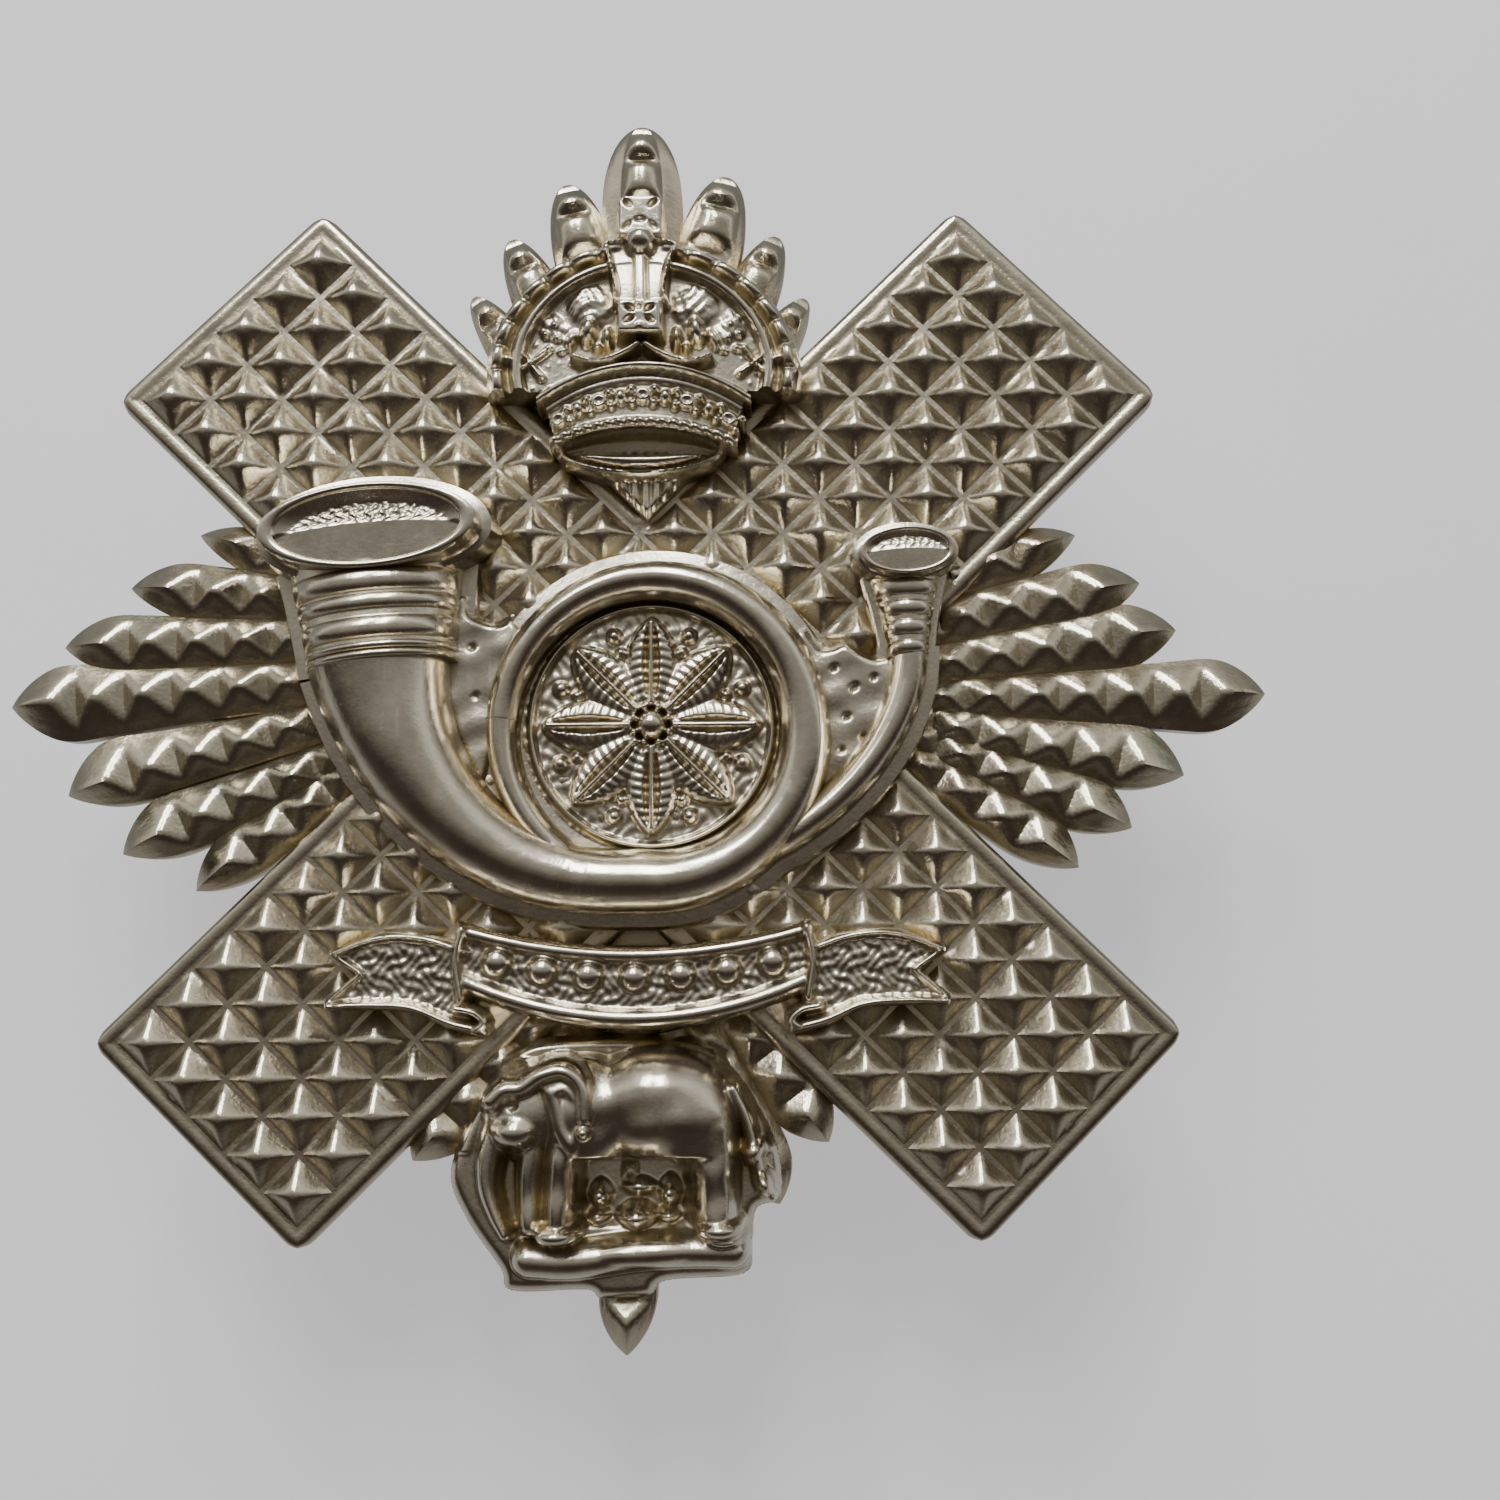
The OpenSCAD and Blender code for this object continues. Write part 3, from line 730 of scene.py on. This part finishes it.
def circlet(u, v):
    """The jewelled band, with a plain rim over it and a roped one under it."""
    x = u - 0.35
    top = np.hypot(x, v - 6.3)
    low = np.hypot(u - 0.2, v - 0.75)
    hem = 4.35 + 0.36 * (v - 13.4)
    side = np.abs(x) < hem
    bow = 5.0 - 0.035 * x * x
    w = only(side & (top < 10.9) & (low > 13.2), bow - 0.55)
    rim = rounded(top - 10.85, 0.3)
    w = over(w, only((np.abs(x) < 5.5) & (rim > 0), bow - 0.9 + 1.1 * rim))
    swell = rounded(top - 10.25, 0.3)
    w = over(w, only(side & (swell > 0), bow - 0.7 + 0.35 * swell))
    twist = np.abs(np.sin(u * 5.6 + (low - 13.5) * 3)) ** 0.6
    roped = rounded(low - 13.5, 0.34) * (0.72 + 0.28 * twist)
    w = over(w, only((np.abs(x) < 4.75) & (roped > 0), bow - 0.8 + 1.0 * roped))
    for k in range(-4, 5):
        angle = math.radians(90 - 6.9 * k)
        place = around((0.35, 6.3), angle, 9.35)
        level = 4.45 - 0.035 * (place[0] - 0.35) ** 2
        wide = 0.5 if k % 2 == 0 else 0.34
        gem = dome(u, v, place, wide, 0.42, level, level + 0.62, turn=-6.9 * k)
        hollow = dome(u, v, place, wide * 0.5, 0.2, 0, 0.3, turn=-6.9 * k)
        w = over(w, gem - np.maximum(hollow, 0) * (k % 2 == 0))
        for way in (-1, 1):
            pearl = around((0.35, 6.3), math.radians(90 - 6.9 * (k + 0.5)), 9.35 + 0.36 * way)
            w = over(w, dome(u, v, pearl, 0.25, 0.25, level - 0.1, level + 0.45))
    return w


def front_arch(u, v):
    """The arch that comes down the middle, its orb, the cross above and the cross's foot."""
    shape = polygon_edge(u, v, curve([(-1.75, 23.75), (-1.5, 22.6), (-1.2, 21.2), (-1.05, 20.2),
                                      (1.5, 20.2), (1.6, 21.2), (1.85, 22.6), (2.2, 23.65),
                                      (0.25, 24.05), (-1.75, 23.75)], 6))
    slope = 5.1 + 0.35 * smoothstep(24.2, 20.2, v)
    middle = np.abs(u - (0.27 - 0.02 * (v - 20)))
    groove = 0.42 * smoothstep(0.16, 0.42, shape) * (1 - smoothstep(0.22, 0.42, 0.62 - middle))
    wall = 1.6 * (1 - np.clip(shape / 0.12, 0, 1))
    w = only(shape > 0, slope - wall - groove)
    w = over(w, dome(u, v, (0.24, 23.6), 0.87, 0.85, 4.3, 5.85))
    block = polygon_edge(u, v, [(-1.15, 24.1), (1.5, 24.1), (1.5, 26.35), (1.15, 26.72),
                                (-0.75, 26.72), (-1.12, 26.35)])
    cross = pad(block, 2.0, 4.25, 0.3)
    for dx in (-1, 1):
        for dy in (-1, 1):
            mark = dome(u, v, (0.18 + 0.68 * dx, 25.5 + 0.62 * dy), 0.12, 0.36, 0, 0.3,
                        turn=-45 * dx * dy)
            cross -= np.maximum(mark, 0) * (1 if dy > 0 else 0.6)
    cross -= np.maximum(dome(u, v, (0.18, 25.2), 0.34, 0.14, 0, 0.22), 0)
    w = over(w, cross)
    panel = polygon_edge(u, v, [(-0.92, 18.5), (1.4, 18.5), (1.4, 20.3), (-0.92, 20.3)])
    face = pad(panel, 3.8, 5.85, 0.14)
    for turn in (35, 90, 145, 215, 325):
        spot = around((0.24, 19.5), math.radians(turn), 0.62, 0.5)
        mark = dome(u, v, spot, 0.3, 0.13, 0, 0.34, turn=turn)
        face -= np.maximum(mark, 0)
    face = np.maximum(face, dome(u, v, (0.24, 18.85), 0.32, 0.26, 5.4, 6.0))
    return over(w, face)


def crown_foot(u, v):
    """The crown's underside, seen as a narrow opening, and the fringe that hangs below it."""
    x, y = u - 0.15, v - 13.35
    ring = np.hypot(x / 4.45, y / 1.78)
    w = only((ring < 1) & (y < 0.75), 2.2 + 1.9 * np.sqrt(np.clip(1 - ring ** 5, 0, 1)))
    bowl = np.hypot(x / 4.0, (y - 0.05) / 1.35)
    w = np.where(bowl < 1, w - 1.15 * rounded(bowl, 1) ** 0.6, w)
    chord = 12.88 - v
    curved = v - (12.2 + 0.66 * np.clip((x / 3.3) ** 2, 0, 2))
    lens = np.minimum(chord, curved)
    w = np.where((lens > 0) & (np.abs(x) < 3.3), 3.75 + 0.9 * np.clip(lens, 0, 0.25), w)
    fringe = polygon_edge(u, v, [(-3.3, 13.4), (4.0, 13.4), (0.45, 9.75)])
    ribs = 0.3 * np.abs(np.sin((u - 0.1) * math.pi / 0.55))
    hang = only(fringe > 0, 2.3 + 0.45 * np.clip(fringe / 0.3, 0, 1) + ribs)
    return over(w, hang)


# ---- the device in the coil

DISC = 6.05


def rosette():
    """A plain eight-petalled rosette with ribbed petals and pearls between them."""
    centre = (0.68, -0.98)
    u, v = grid(centre[0] - 6.6, centre[0] + 6.6, centre[1] - 6.6, centre[1] + 6.6, 0.055)
    x, y = u - centre[0], v - centre[1]
    r, turn = np.hypot(x, y), np.arctan2(y, x)
    w = only(r < 6.5, 2.75 + 0.1 * pebbles(u, v, 0.9))
    rim = rounded(r - DISC, 0.2)
    w = over(w, only(rim > 0, 2.75 + 0.55 * rim))
    fold = (turn / (math.pi / 4) + 0.5) % 1 - 0.5
    across = np.abs(fold) * math.pi / 4 * r
    half = 1.42 * np.sin(np.clip((r - 0.9) / 4.6, 0, 1) * math.pi) ** 0.62
    petal = np.clip(1 - across / np.maximum(half, 1e-3), 0, 1)
    ribs = 0.07 * np.abs(np.sin(r * math.pi / 0.42)) * smoothstep(0.12, 0.3, petal)
    veined = 2.95 + 0.62 * eased(petal) - 0.34 * (petal > 0.72) + ribs
    w = np.where((petal > 0) & (r < 5.5), np.maximum(w, veined), w)
    spine = rounded(across, 0.2)
    w = np.where((spine > 0) & (r < 5.3) & (r > 1), np.maximum(w, 3.2 + 0.55 * spine), w)
    for k in range(8):
        a = math.pi / 4 * (k + 0.5)
        for reach, size in ((4.95, 0.42), (4.05, 0.3), (3.35, 0.22)):
            w = over(w, dome(u, v, around(centre, a, reach), size, size, 2.7, 2.8 + size * 1.3))
        w = over(w, dome(u, v, around(centre, a, 0.95), 0.24, 0.24, 3.2, 3.95))
    w = over(w, dome(u, v, centre, 0.78, 0.78, 3.2, 4.2))
    soften(w, 3)
    return relief("rosette", u, v, w, 2.4)


# ---- the scroll

def scroll():
    u, v = grid(-16.2, 16.6, -17.2, -9.9, 0.065)
    top = np.hypot(u + 0.05, v - 17.5)
    low = np.hypot(u + 0.1, v - 4.9)
    stipple = 0.13 * pebbles(u, v, 0.7, 1) + 0.05 * pebbles(u, v, 0.37, 4)
    inside = np.minimum(top - 29.55, 20.75 - low)
    ends = 8.75 - np.abs(u + 0.15)
    edge = np.minimum(inside, ends)
    level = 3.75 + 0.2 * np.cos(u / 8.7 * math.pi)
    w = only(edge > 0, level - 0.42 + stipple - 1.3 * (1 - np.clip(edge / 0.12, 0, 1)))
    upper = rounded(top - 29.9, 0.42)
    w = over(w, only((upper > 0) & (ends > 0), level - 0.6 + 0.75 * upper))
    roll = rounded(low - 20.35, 0.62)
    w = over(w, only((roll > 0) & (ends > 0), level - 1.2 + 1.35 * roll))
    end = curve([(8.45, -11.05), (8.75, -12.6), (8.5, -14.5)])
    w = over(w, rope(np.abs(u + 0.15), v, end, 0.36, 2.2, 4.0), tail(np.abs(u), v, stipple))
    for k in range(7):
        x = -0.15 + (k - 3) * 2.25
        y = 17.5 - math.sqrt(30.95 ** 2 - x * x)
        base = 3.3 + 0.2 * math.cos(x / 8.7 * math.pi)
        w = over(w, dome(u, v, (x, y), 0.78, 0.78, base, base + 0.95))
    soften(w, 3)
    return relief("scroll", u, v, w, FOOT)


def tail(x, v, stipple):
    """The scroll's forked ends: a rough field between two raised edges."""
    outline = [(8.4, -12.2), (10.6, -11.45), (12.6, -11.4), (15.1, -12.25), (13.6, -13.2),
               (15.3, -14.6), (13.3, -14.75), (11.1, -14.85), (9.1, -15.8), (8.0, -15.9)]
    edge = polygon_edge(x, v, outline)
    w = only(edge > 0, 2.95 + stipple * 1.1 - 1.0 * (1 - np.clip(edge / 0.15, 0, 1)))
    upper = curve([(8.5, -12.15), (10.6, -11.5), (12.7, -11.45), (15.0, -12.2)])
    lower = curve([(7.6, -16.0), (9.2, -15.6), (11.1, -14.85), (13.2, -14.7), (15.2, -14.75)])
    w = over(w, rope(x, v, upper, 0.32, 2.0, 3.65, taper=0.8),
             rope(x, v, lower, 0.4, 2.0, 3.7, taper=0.7))
    fork = [(15.0, -12.25), (13.6, -13.2), (15.25, -14.6)]
    w = over(w, rope(x, v, fork, 0.24, 2.0, 3.4))
    curl = curve([(8.9, -14.9), (8.0, -15.1), (7.5, -15.6), (7.9, -15.95)])
    return over(w, rope(x, v, curl, 0.36, 2.0, 3.9))


# ---- the elephant

FIELD_EDGE = [(-7.0, -17.4), (-4.4, -16.4), (2.6, -16.5), (4.8, -18.2), (6.4, -20.9),
              (6.95, -22.6), (6.9, -24.4), (5.75, -24.9), (5.5, -26.5), (5.1, -28.0),
              (1.3, -28.3), (0.4, -29.0), (-1.9, -29.1), (-2.7, -28.7), (-6.3, -28.7),
              (-6.9, -27.6), (-8.6, -25.2), (-9.4, -23.0), (-8.4, -20.2), (-7.0, -17.4)]


def elephant():
    u, v = grid(-10.2, 7.6, -29.5, -15.9, 0.065)
    field = polygon_edge(u, v, curve(FIELD_EDGE, 8))
    gap = polygon_edge(u, v, [(-3.0, -22.4), (-2.4, -21.7), (1.6, -21.7), (2.6, -22.6),
                              (2.6, -25.7), (-3.0, -25.7)])
    ground = 1.2 + 1.15 * eased(field / 0.7)
    ground = ground - 0.55 * smoothstep(0, 0.6, gap)
    w = only(field > 0, ground)
    halo = np.clip(1 - ((field - 0.45) / 0.45) ** 2, 0, 1)
    w = np.where(v > -22, w + 0.22 * halo, w)

    small = ((-1.9, -24.0, 0.62, 0.7, 1.7, 3.3), (-2.0, -25.0, 0.6, 0.42, 1.7, 3.1),
             (-0.1, -25.05, 1.1, 0.8, 1.7, 3.5), (0.0, -23.7, 0.95, 0.5, 1.7, 2.5),
             (1.5, -23.9, 0.62, 0.8, 1.7, 3.3), (1.45, -25.0, 0.62, 0.42, 1.7, 3.1))
    w = over(w, domes(u, v, small, power=1.5))

    belly = 2.2 + 12 * np.clip(v + 22.25, -1, 9)
    body = dome(u, v, (1.0, -19.6), 3.8, 2.75, 2.2, 5.25, power=2.1)
    rump = dome(u, v, (2.75, -20.8), 2.2, 3.1, 2.2, 5.05, power=2.1)
    shoulder = dome(u, v, (-2.6, -20.2), 2.3, 3.0, 2.2, 4.95, power=2.2)
    animal = soft_min(soft_max(soft_max(body, rump, 0.9), shoulder, 0.7), belly, 0.4)
    legs = ((curve([(3.6, -20.8), (3.75, -23.0), (3.75, -24.9)], 8), 1.3, 0.88, 4.7),
            (curve([(-3.5, -21.0), (-3.75, -23.2), (-3.8, -25.2)], 8), 1.0, 0.88, 4.6),
            (curve([(-5.0, -20.8), (-5.25, -23.2), (-5.2, -25.2)], 8), 0.85, 0.85, 4.3))
    for line, half, taper, high in legs:
        animal = soft_max(animal, rope(u, v, line, half, 2.0, high, taper), 0.3)
    dent = 0.07 * np.sin(1.3 * u + 0.9 * np.sin(1.7 * v)) + 0.05 * np.sin(2.6 * v - 0.7 * u)
    feet = ((3.95, -25.4, 1.25, 0.62, 2.6, 5.1), (-3.9, -25.6, 1.25, 0.62, 2.6, 5.1))
    w = over(w, animal + dent, domes(u, v, feet, power=2.2), elephant_head(u, v), plinth(u, v))
    tail_line = curve([(4.6, -18.9), (5.3, -20.4), (5.7, -22.1), (6.0, -23.3), (6.5, -24.1)])
    w = over(w, rope(u, v, tail_line, 0.45, 2.2, 3.7, taper=0.7),
             domes(u, v, ((4.1, -26.1, 1.0, 0.35, 2.6, 4.2), (5.6, -21.9, 0.6, 0.8, 2.2, 4.0, -20),
                          (6.1, -23.4, 0.5, 0.8, 2.0, 4.3, 20))))
    soften(w, 5)
    return relief("elephant", u, v, w, FOOT)


def elephant_head(u, v):
    w = dome(u, v, (-5.5, -19.9), 2.2, 2.5, 2.2, 4.9)
    w = soft_max(w, dome(u, v, (-6.2, -18.9), 1.1, 1.1, 2.4, 4.5), 0.3)
    w = soft_max(w, dome(u, v, (-5.8, -20.7), 1.35, 1.1, 3.0, 5.35), 0.3)
    trunk = curve([(-6.7, -20.4), (-7.2, -21.9), (-7.3, -23.4), (-6.9, -24.7), (-6.4, -25.7)])
    w = soft_max(w, rope(u, v, trunk, 0.95, 2.0, 3.9, taper=0.45), 0.3)
    ear = polygon_edge(u, v, curve([(-4.6, -18.6), (-3.4, -18.2), (-2.5, -19.0), (-2.3, -20.6),
                                    (-3.0, -21.9), (-3.9, -21.0), (-4.3, -19.6), (-4.6, -18.6)],
                                   8))
    flap = only(ear > 0, 4.6 + 0.45 * np.sqrt(np.clip(ear / 0.6, 0, 1)))
    w = over(w, flap - 0.45 * smoothstep(0.45, 1.0, ear))
    fold = curve([(-6.9, -19.2), (-6.3, -18.7), (-5.5, -18.6), (-4.5, -18.0), (-3.4, -17.85),
                  (-2.6, -18.6), (-2.45, -20.1)])
    w = soft_max(w, rope(u, v, fold, 0.72, 3.5, 5.35, taper=0.8), 0.2)
    w = over(w, dome(u, v, (-2.5, -20.7), 0.42, 0.46, 4.2, 5.5))
    eye = dome(u, v, (-5.9, -19.5), 0.3, 0.18, 0, 0.25, turn=20)
    return w - np.maximum(eye, 0)


def plinth(u, v):
    """The tablet the elephant stands on: a rounded uneven bar on a plain sloping edge."""
    bar = curve([(-5.3, -26.95), (-3.2, -27.05), (-0.2, -26.7), (2.4, -26.6), (4.6, -26.65)])
    crest = rope(u, v, bar, 0.95, 2.3, 3.7, taper=0.9)
    swell = dome(u, v, (0.4, -26.6), 2.4, 0.75, 2.8, 3.95, turn=2)
    return soft_max(crest, swell, 0.6)


# ---- the fastenings behind

def softened_copy(node):
    """The same solid as the CAD part, with its flat facets joined and its edges eased."""
    obj = add(node + "_eased", frame["nodes"][node].data.copy())
    obj.matrix_world = frame["nodes"][node].matrix_world.copy()
    with editing(obj) as bm:
        bmesh.ops.remove_doubles(bm, verts=bm.verts, dist=1e-7)
        bmesh.ops.dissolve_limit(bm, angle_limit=math.radians(1), verts=bm.verts, edges=bm.edges)
        sharp = [e for e in bm.edges if len(e.link_faces) == 2
                 and e.calc_face_angle(0) > math.radians(40)]
        bmesh.ops.bevel(bm, geom=sharp, offset=0.06 * MM, segments=2, affect="EDGES",
                        clamp_overlap=True)
    shade(obj, 35)
    return obj


def solder_domes(node):
    """A low bead of solder over the head of every post of a node, where it shows behind."""
    source = frame["nodes"][node]
    spots = [source.matrix_world @ v.co / MM for v in source.data.vertices]
    rear = max(spot.y for spot in spots)
    heads = []
    for spot in (spot for spot in spots if spot.y > rear - 1e-3):
        near = [head for head in heads if (head[0] - spot).length < 3]
        if near:
            near[0].append(spot)
        else:
            heads.append([spot])
    share = np.array([0.01, 0.25, 0.45, 0.65, 0.8, 0.9, 0.96, 1.0])
    beads = []
    for head in heads:
        corners = np.array(head)[:, [0, 2]]
        low, high = corners.min(axis=0), corners.max(axis=0)
        radius = (high[0] - low[0]) / 2 + 0.18
        beads.append(round_plate("solder", (low + high) / 2, share * radius,
                                 -0.24 * rounded(share, 1), 0.1, count=48))
        shade(beads[-1], 50)
    return beads


# ---- materials

class Graph:
    """A thin helper for building node trees."""

    def __init__(self, owner):
        owner.use_nodes = True
        self.tree = owner.node_tree

    def fill(self, made, inputs):
        """Links or sets the inputs of a node."""
        for key, value in dict(inputs).items():
            if isinstance(value, bpy.types.NodeSocket):
                self.tree.links.new(value, made.inputs[key])
            else:
                made.inputs[key].default_value = value

    def node(self, kind, inputs=(), **settings):
        made = self.tree.nodes.new(kind)
        for key, value in settings.items():
            setattr(made, key, value)
        self.fill(made, inputs)
        return made

    def math(self, operation, *values):
        return self.node("ShaderNodeMath", enumerate(values), operation=operation).outputs[0]

    def ramp(self, value, stops):
        """A value or colour looked up from (place, colour or number) stops."""
        made = self.node("ShaderNodeValToRGB", {0: value})
        elements = made.color_ramp.elements
        while len(elements) < len(stops):
            elements.new(0.5)
        for element, (place, color) in zip(elements, stops):
            element.position = place
            rgb = color if isinstance(color, tuple) else (color,) * 3
            element.color = (*rgb, 1)
        return made.outputs[0]

    def mix(self, factor, first, second, blend="MIX"):
        colors = [(*c, 1) if isinstance(c, tuple) else c for c in (first, second)]
        return self.node("ShaderNodeMix", {0: factor, 6: colors[0], 7: colors[1]},
                         data_type="RGBA", blend_type=blend).outputs[2]

    def noise(self, place, scale, detail=4, rough=0.55, stretch=None):
        if stretch:
            place = self.node("ShaderNodeMapping", {"Vector": place, "Scale": stretch}).outputs[0]
        return self.node("ShaderNodeTexNoise", {"Vector": place, "Scale": scale,
                                                "Detail": detail, "Roughness": rough}).outputs[0]


def metal(name, clean, tarnish, rough, grain=0.5, stain=0.0):
    """Old polished metal: bright on the high spots, browner and duller down in the recesses.

    grain scales the bump of the struck surface. stain adds green spots of verdigris.
    """
    mat = bpy.data.materials.new(name)
    g = Graph(mat)
    place = g.node("ShaderNodeTexCoord").outputs["Object"]
    wide = g.noise(place, 160, 3)
    patch = g.noise(place, 900, 5, 0.65)
    fine = g.noise(place, 5200, 3, 0.6)
    scratch = g.noise(place, 2600, 2, 0.5, stretch=(1, 1, 0.06))
    cross = g.noise(place, 2600, 2, 0.5, stretch=(0.07, 1, 1))
    hidden = g.node("ShaderNodeAmbientOcclusion", {"Distance": 1.3 * MM}, samples=8)
    depth = g.math("SUBTRACT", 1.0, hidden.outputs["AO"])
    dirt = g.math("MULTIPLY", depth, g.math("MULTIPLY_ADD", patch, 1.3, 0.55))
    dirt = g.math("MULTIPLY_ADD", g.math("SUBTRACT", wide, 0.5), 0.35, dirt)
    dirt = g.ramp(dirt, [(0.3, 0.0), (0.95, 1.0)])
    color = g.mix(dirt, clean, tarnish)
    shade_of = g.ramp(patch, [(0.3, 0.82), (0.7, 1.0)])
    color = g.mix(1.0, color, shade_of, "MULTIPLY")
    if stain:
        spots = g.noise(place, 210, 6, 0.7)
        green = g.math("MULTIPLY", g.ramp(spots, [(0.62, 0.0), (0.70, 1.0)]), stain)
        color = g.mix(green, color, (0.16, 0.27, 0.20))
    gloss = g.math("MULTIPLY_ADD", depth, 0.24, rough)
    gloss = g.math("MULTIPLY_ADD", g.math("SUBTRACT", patch, 0.5), 0.22, gloss)
    lines = g.math("MAXIMUM", scratch, cross)
    gloss = g.math("ADD", gloss, g.ramp(lines, [(0.64, 0.0), (0.74, 0.06)]))
    pitted = g.math("MULTIPLY_ADD", depth, 1.6, 0.3)
    relief = g.math("MULTIPLY_ADD", patch, 0.7, g.math("MULTIPLY", fine, pitted))
    relief = g.math("MULTIPLY_ADD", lines, -0.07, relief)
    bump = g.node("ShaderNodeBump", {"Height": relief, "Strength": grain, "Distance": 0.06 * MM})
    g.fill(g.tree.nodes["Principled BSDF"], {"Base Color": color, "Metallic": 1.0,
                                             "Roughness": gloss, "Normal": bump.outputs[0]})
    return mat


def finish_piece(obj, body, mat, nodes=()):
    obj.data.materials.clear()
    obj.data.materials.append(mat)
    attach(obj, body)
    if nodes:
        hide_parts(*nodes)


# ---- camera and light

def camera():
    # Right, up and backward directions in u, v, w
    turn = Matrix(((0.99994, -0.0090, 0.0077), (0.0082, 0.99321, 0.11604),
                   (-0.0087, -0.1160, 0.99321)))
    to_frame = Matrix(((1, 0, 0), (0, 0, -1), (0, 1, 0)))
    data = bpy.data.cameras.new("camera")
    data.lens, data.sensor_width = 36, 36
    data.clip_start, data.clip_end = 0.005, 5
    obj = add("camera", data)
    axes = (to_frame @ turn.transposed()).to_4x4()
    place = to_frame @ (Vector((4.96, -10.99, 77.87)) * MM)
    obj.matrix_world = Matrix.Translation(place) @ axes
    bpy.context.scene.camera = obj


def area_light(name, place, size, power):
    data = bpy.data.lights.new(name, "AREA")
    data.shape = "RECTANGLE"
    data.size, data.size_y = size
    data.energy = power
    obj = add(name, data)
    obj.location = place
    obj.rotation_euler = (-Vector(place)).to_track_quat("-Z", "Y").to_euler()


def world():
    """Soft room light: bright above the badge's face, a darker room below it."""
    made = bpy.data.worlds.new("studio")
    bpy.context.scene.world = made
    g = Graph(made)
    way = g.node("ShaderNodeSeparateXYZ",
                 {0: g.node("ShaderNodeTexCoord").outputs["Generated"]})
    x, y, z = way.outputs
    height = g.math("ARCTAN2", z, g.math("MULTIPLY", y, -1))
    turn = g.math("ADD", g.math("DIVIDE", height, 2 * math.pi), 0.5)
    seen = g.ramp(turn, [((180 + a) / 360, c) for a, c in (
        (-180, (0.55, 0.55, 0.57)), (-96, (0.34, 0.33, 0.32)), (-82, (0.16, 0.145, 0.13)),
        (-66, (0.065, 0.052, 0.046)), (-30, (0.05, 0.038, 0.034)), (-8, (0.18, 0.162, 0.148)),
        (10, (0.35, 0.34, 0.32)), (26, (0.34, 0.33, 0.315)), (44, (0.78, 0.77, 0.74)),
        (58, (1.0, 0.99, 0.95)), (72, (0.60, 0.59, 0.57)), (88, (0.32, 0.315, 0.31)),
        (135, (0.24, 0.24, 0.24)), (180, (0.55, 0.55, 0.57)))])
    camera_ray = g.node("ShaderNodeLightPath").outputs["Is Camera Ray"]
    final = g.mix(camera_ray, seen, (0.56, 0.55, 0.58))
    g.fill(g.tree.nodes["Background"], {"Color": final, "Strength": 1.0})


def backdrop():
    """The pale paper behind the badge. It is clear when seen from behind."""
    size, depth = 600, -8.6
    points = [(-size, -size, depth), (size, -size, depth), (size, size, depth),
              (-size, size, depth)]
    obj = new_object("paper", points, [(0, 1, 2, 3)])
    mat = bpy.data.materials.new("paper")
    g = Graph(mat)
    shader = g.tree.nodes["Principled BSDF"]
    place = g.node("ShaderNodeTexCoord").outputs["Object"]
    tone = g.ramp(g.noise(place, 60, 4), [(0.3, (0.43, 0.42, 0.44)), (0.7, (0.45, 0.44, 0.46))])
    g.fill(shader, {"Base Color": tone, "Roughness": 0.9, "Emission Strength": 0.95,
                    "Emission Color": (0.60, 0.585, 0.60, 1)})
    clear = g.node("ShaderNodeBsdfTransparent")
    behind = g.node("ShaderNodeNewGeometry").outputs["Backfacing"]
    both = g.node("ShaderNodeMixShader", {0: behind, 1: shader.outputs[0], 2: clear.outputs[0]})
    g.fill(g.tree.nodes["Material Output"], {0: both.outputs[0]})
    obj.data.materials.append(mat)
    obj.visible_shadow = obj.visible_glossy = obj.visible_diffuse = False


camera()
world()
backdrop()
CLEAN = (0.585, 0.53, 0.41)
TARNISH = (0.42, 0.345, 0.205)
star_metal = metal("star_nickel", CLEAN, TARNISH, 0.2, 0.6, stain=0.5)
saltire_metal = metal("saltire_nickel", CLEAN, TARNISH, 0.23, 0.6)
mount_metal = metal("mount_nickel", (0.66, 0.605, 0.49), TARNISH, 0.21, 0.4)
finish_piece(star(), "badge", star_metal, ["star_plate"])
finish_piece(saltire(), "badge", saltire_metal, ["saltire_plate"])
horn_piece = union("horn", horn())
shade(horn_piece, 50)
finish_piece(horn_piece, "badge", mount_metal, ["horn"])

for make, node in ((crown, "crown"), (rosette, "centre_device"), (scroll, "scroll"),
                   (elephant, "elephant")):
    finish_piece(make(), "badge", mount_metal, [node])

WIRE_LOOK = ((0.66, 0.52, 0.27), (0.30, 0.20, 0.09), 0.30, 0.5)
PLATE_LOOK = ((0.70, 0.54, 0.27), (0.28, 0.19, 0.09), 0.33, 0.7)
PIN_LOOK = ((0.72, 0.57, 0.30), (0.30, 0.20, 0.09), 0.26, 0.4)
for node, body, slot, look in (("lug_left", "badge", "lug_wire", WIRE_LOOK),
                               ("lug_right", "badge", "lug_wire", WIRE_LOOK),
                               ("backing_plate", "keeper", "plate_brass", PLATE_LOOK),
                               ("split_pin", "pin", "pin_brass", PIN_LOOK)):
    finish = metal(slot + "_" + node, *look)
    finish_piece(softened_copy(node), body, finish, [node])
post_finish = metal("post_solder", (0.52, 0.47, 0.37), (0.22, 0.18, 0.12), 0.42, 0.8)
for node in ("crown_posts", "horn_posts", "centre_post", "scroll_posts", "elephant_posts"):
    finish_piece(softened_copy(node), "badge", post_finish, [node])
    for number, bead in enumerate(solder_domes(node)):
        bead.name = node + "_solder_" + str(number)
        finish_piece(bead, "badge", post_finish)

for name, x in (("window_left", -0.14), ("window_right", 0.0)):
    area_light(name, (x, -0.26, 0.35), (0.05, 0.26), 1.25)
bpy.context.scene.view_settings.view_transform = "AgX"
bpy.context.scene.view_settings.look = "AgX - Base Contrast"
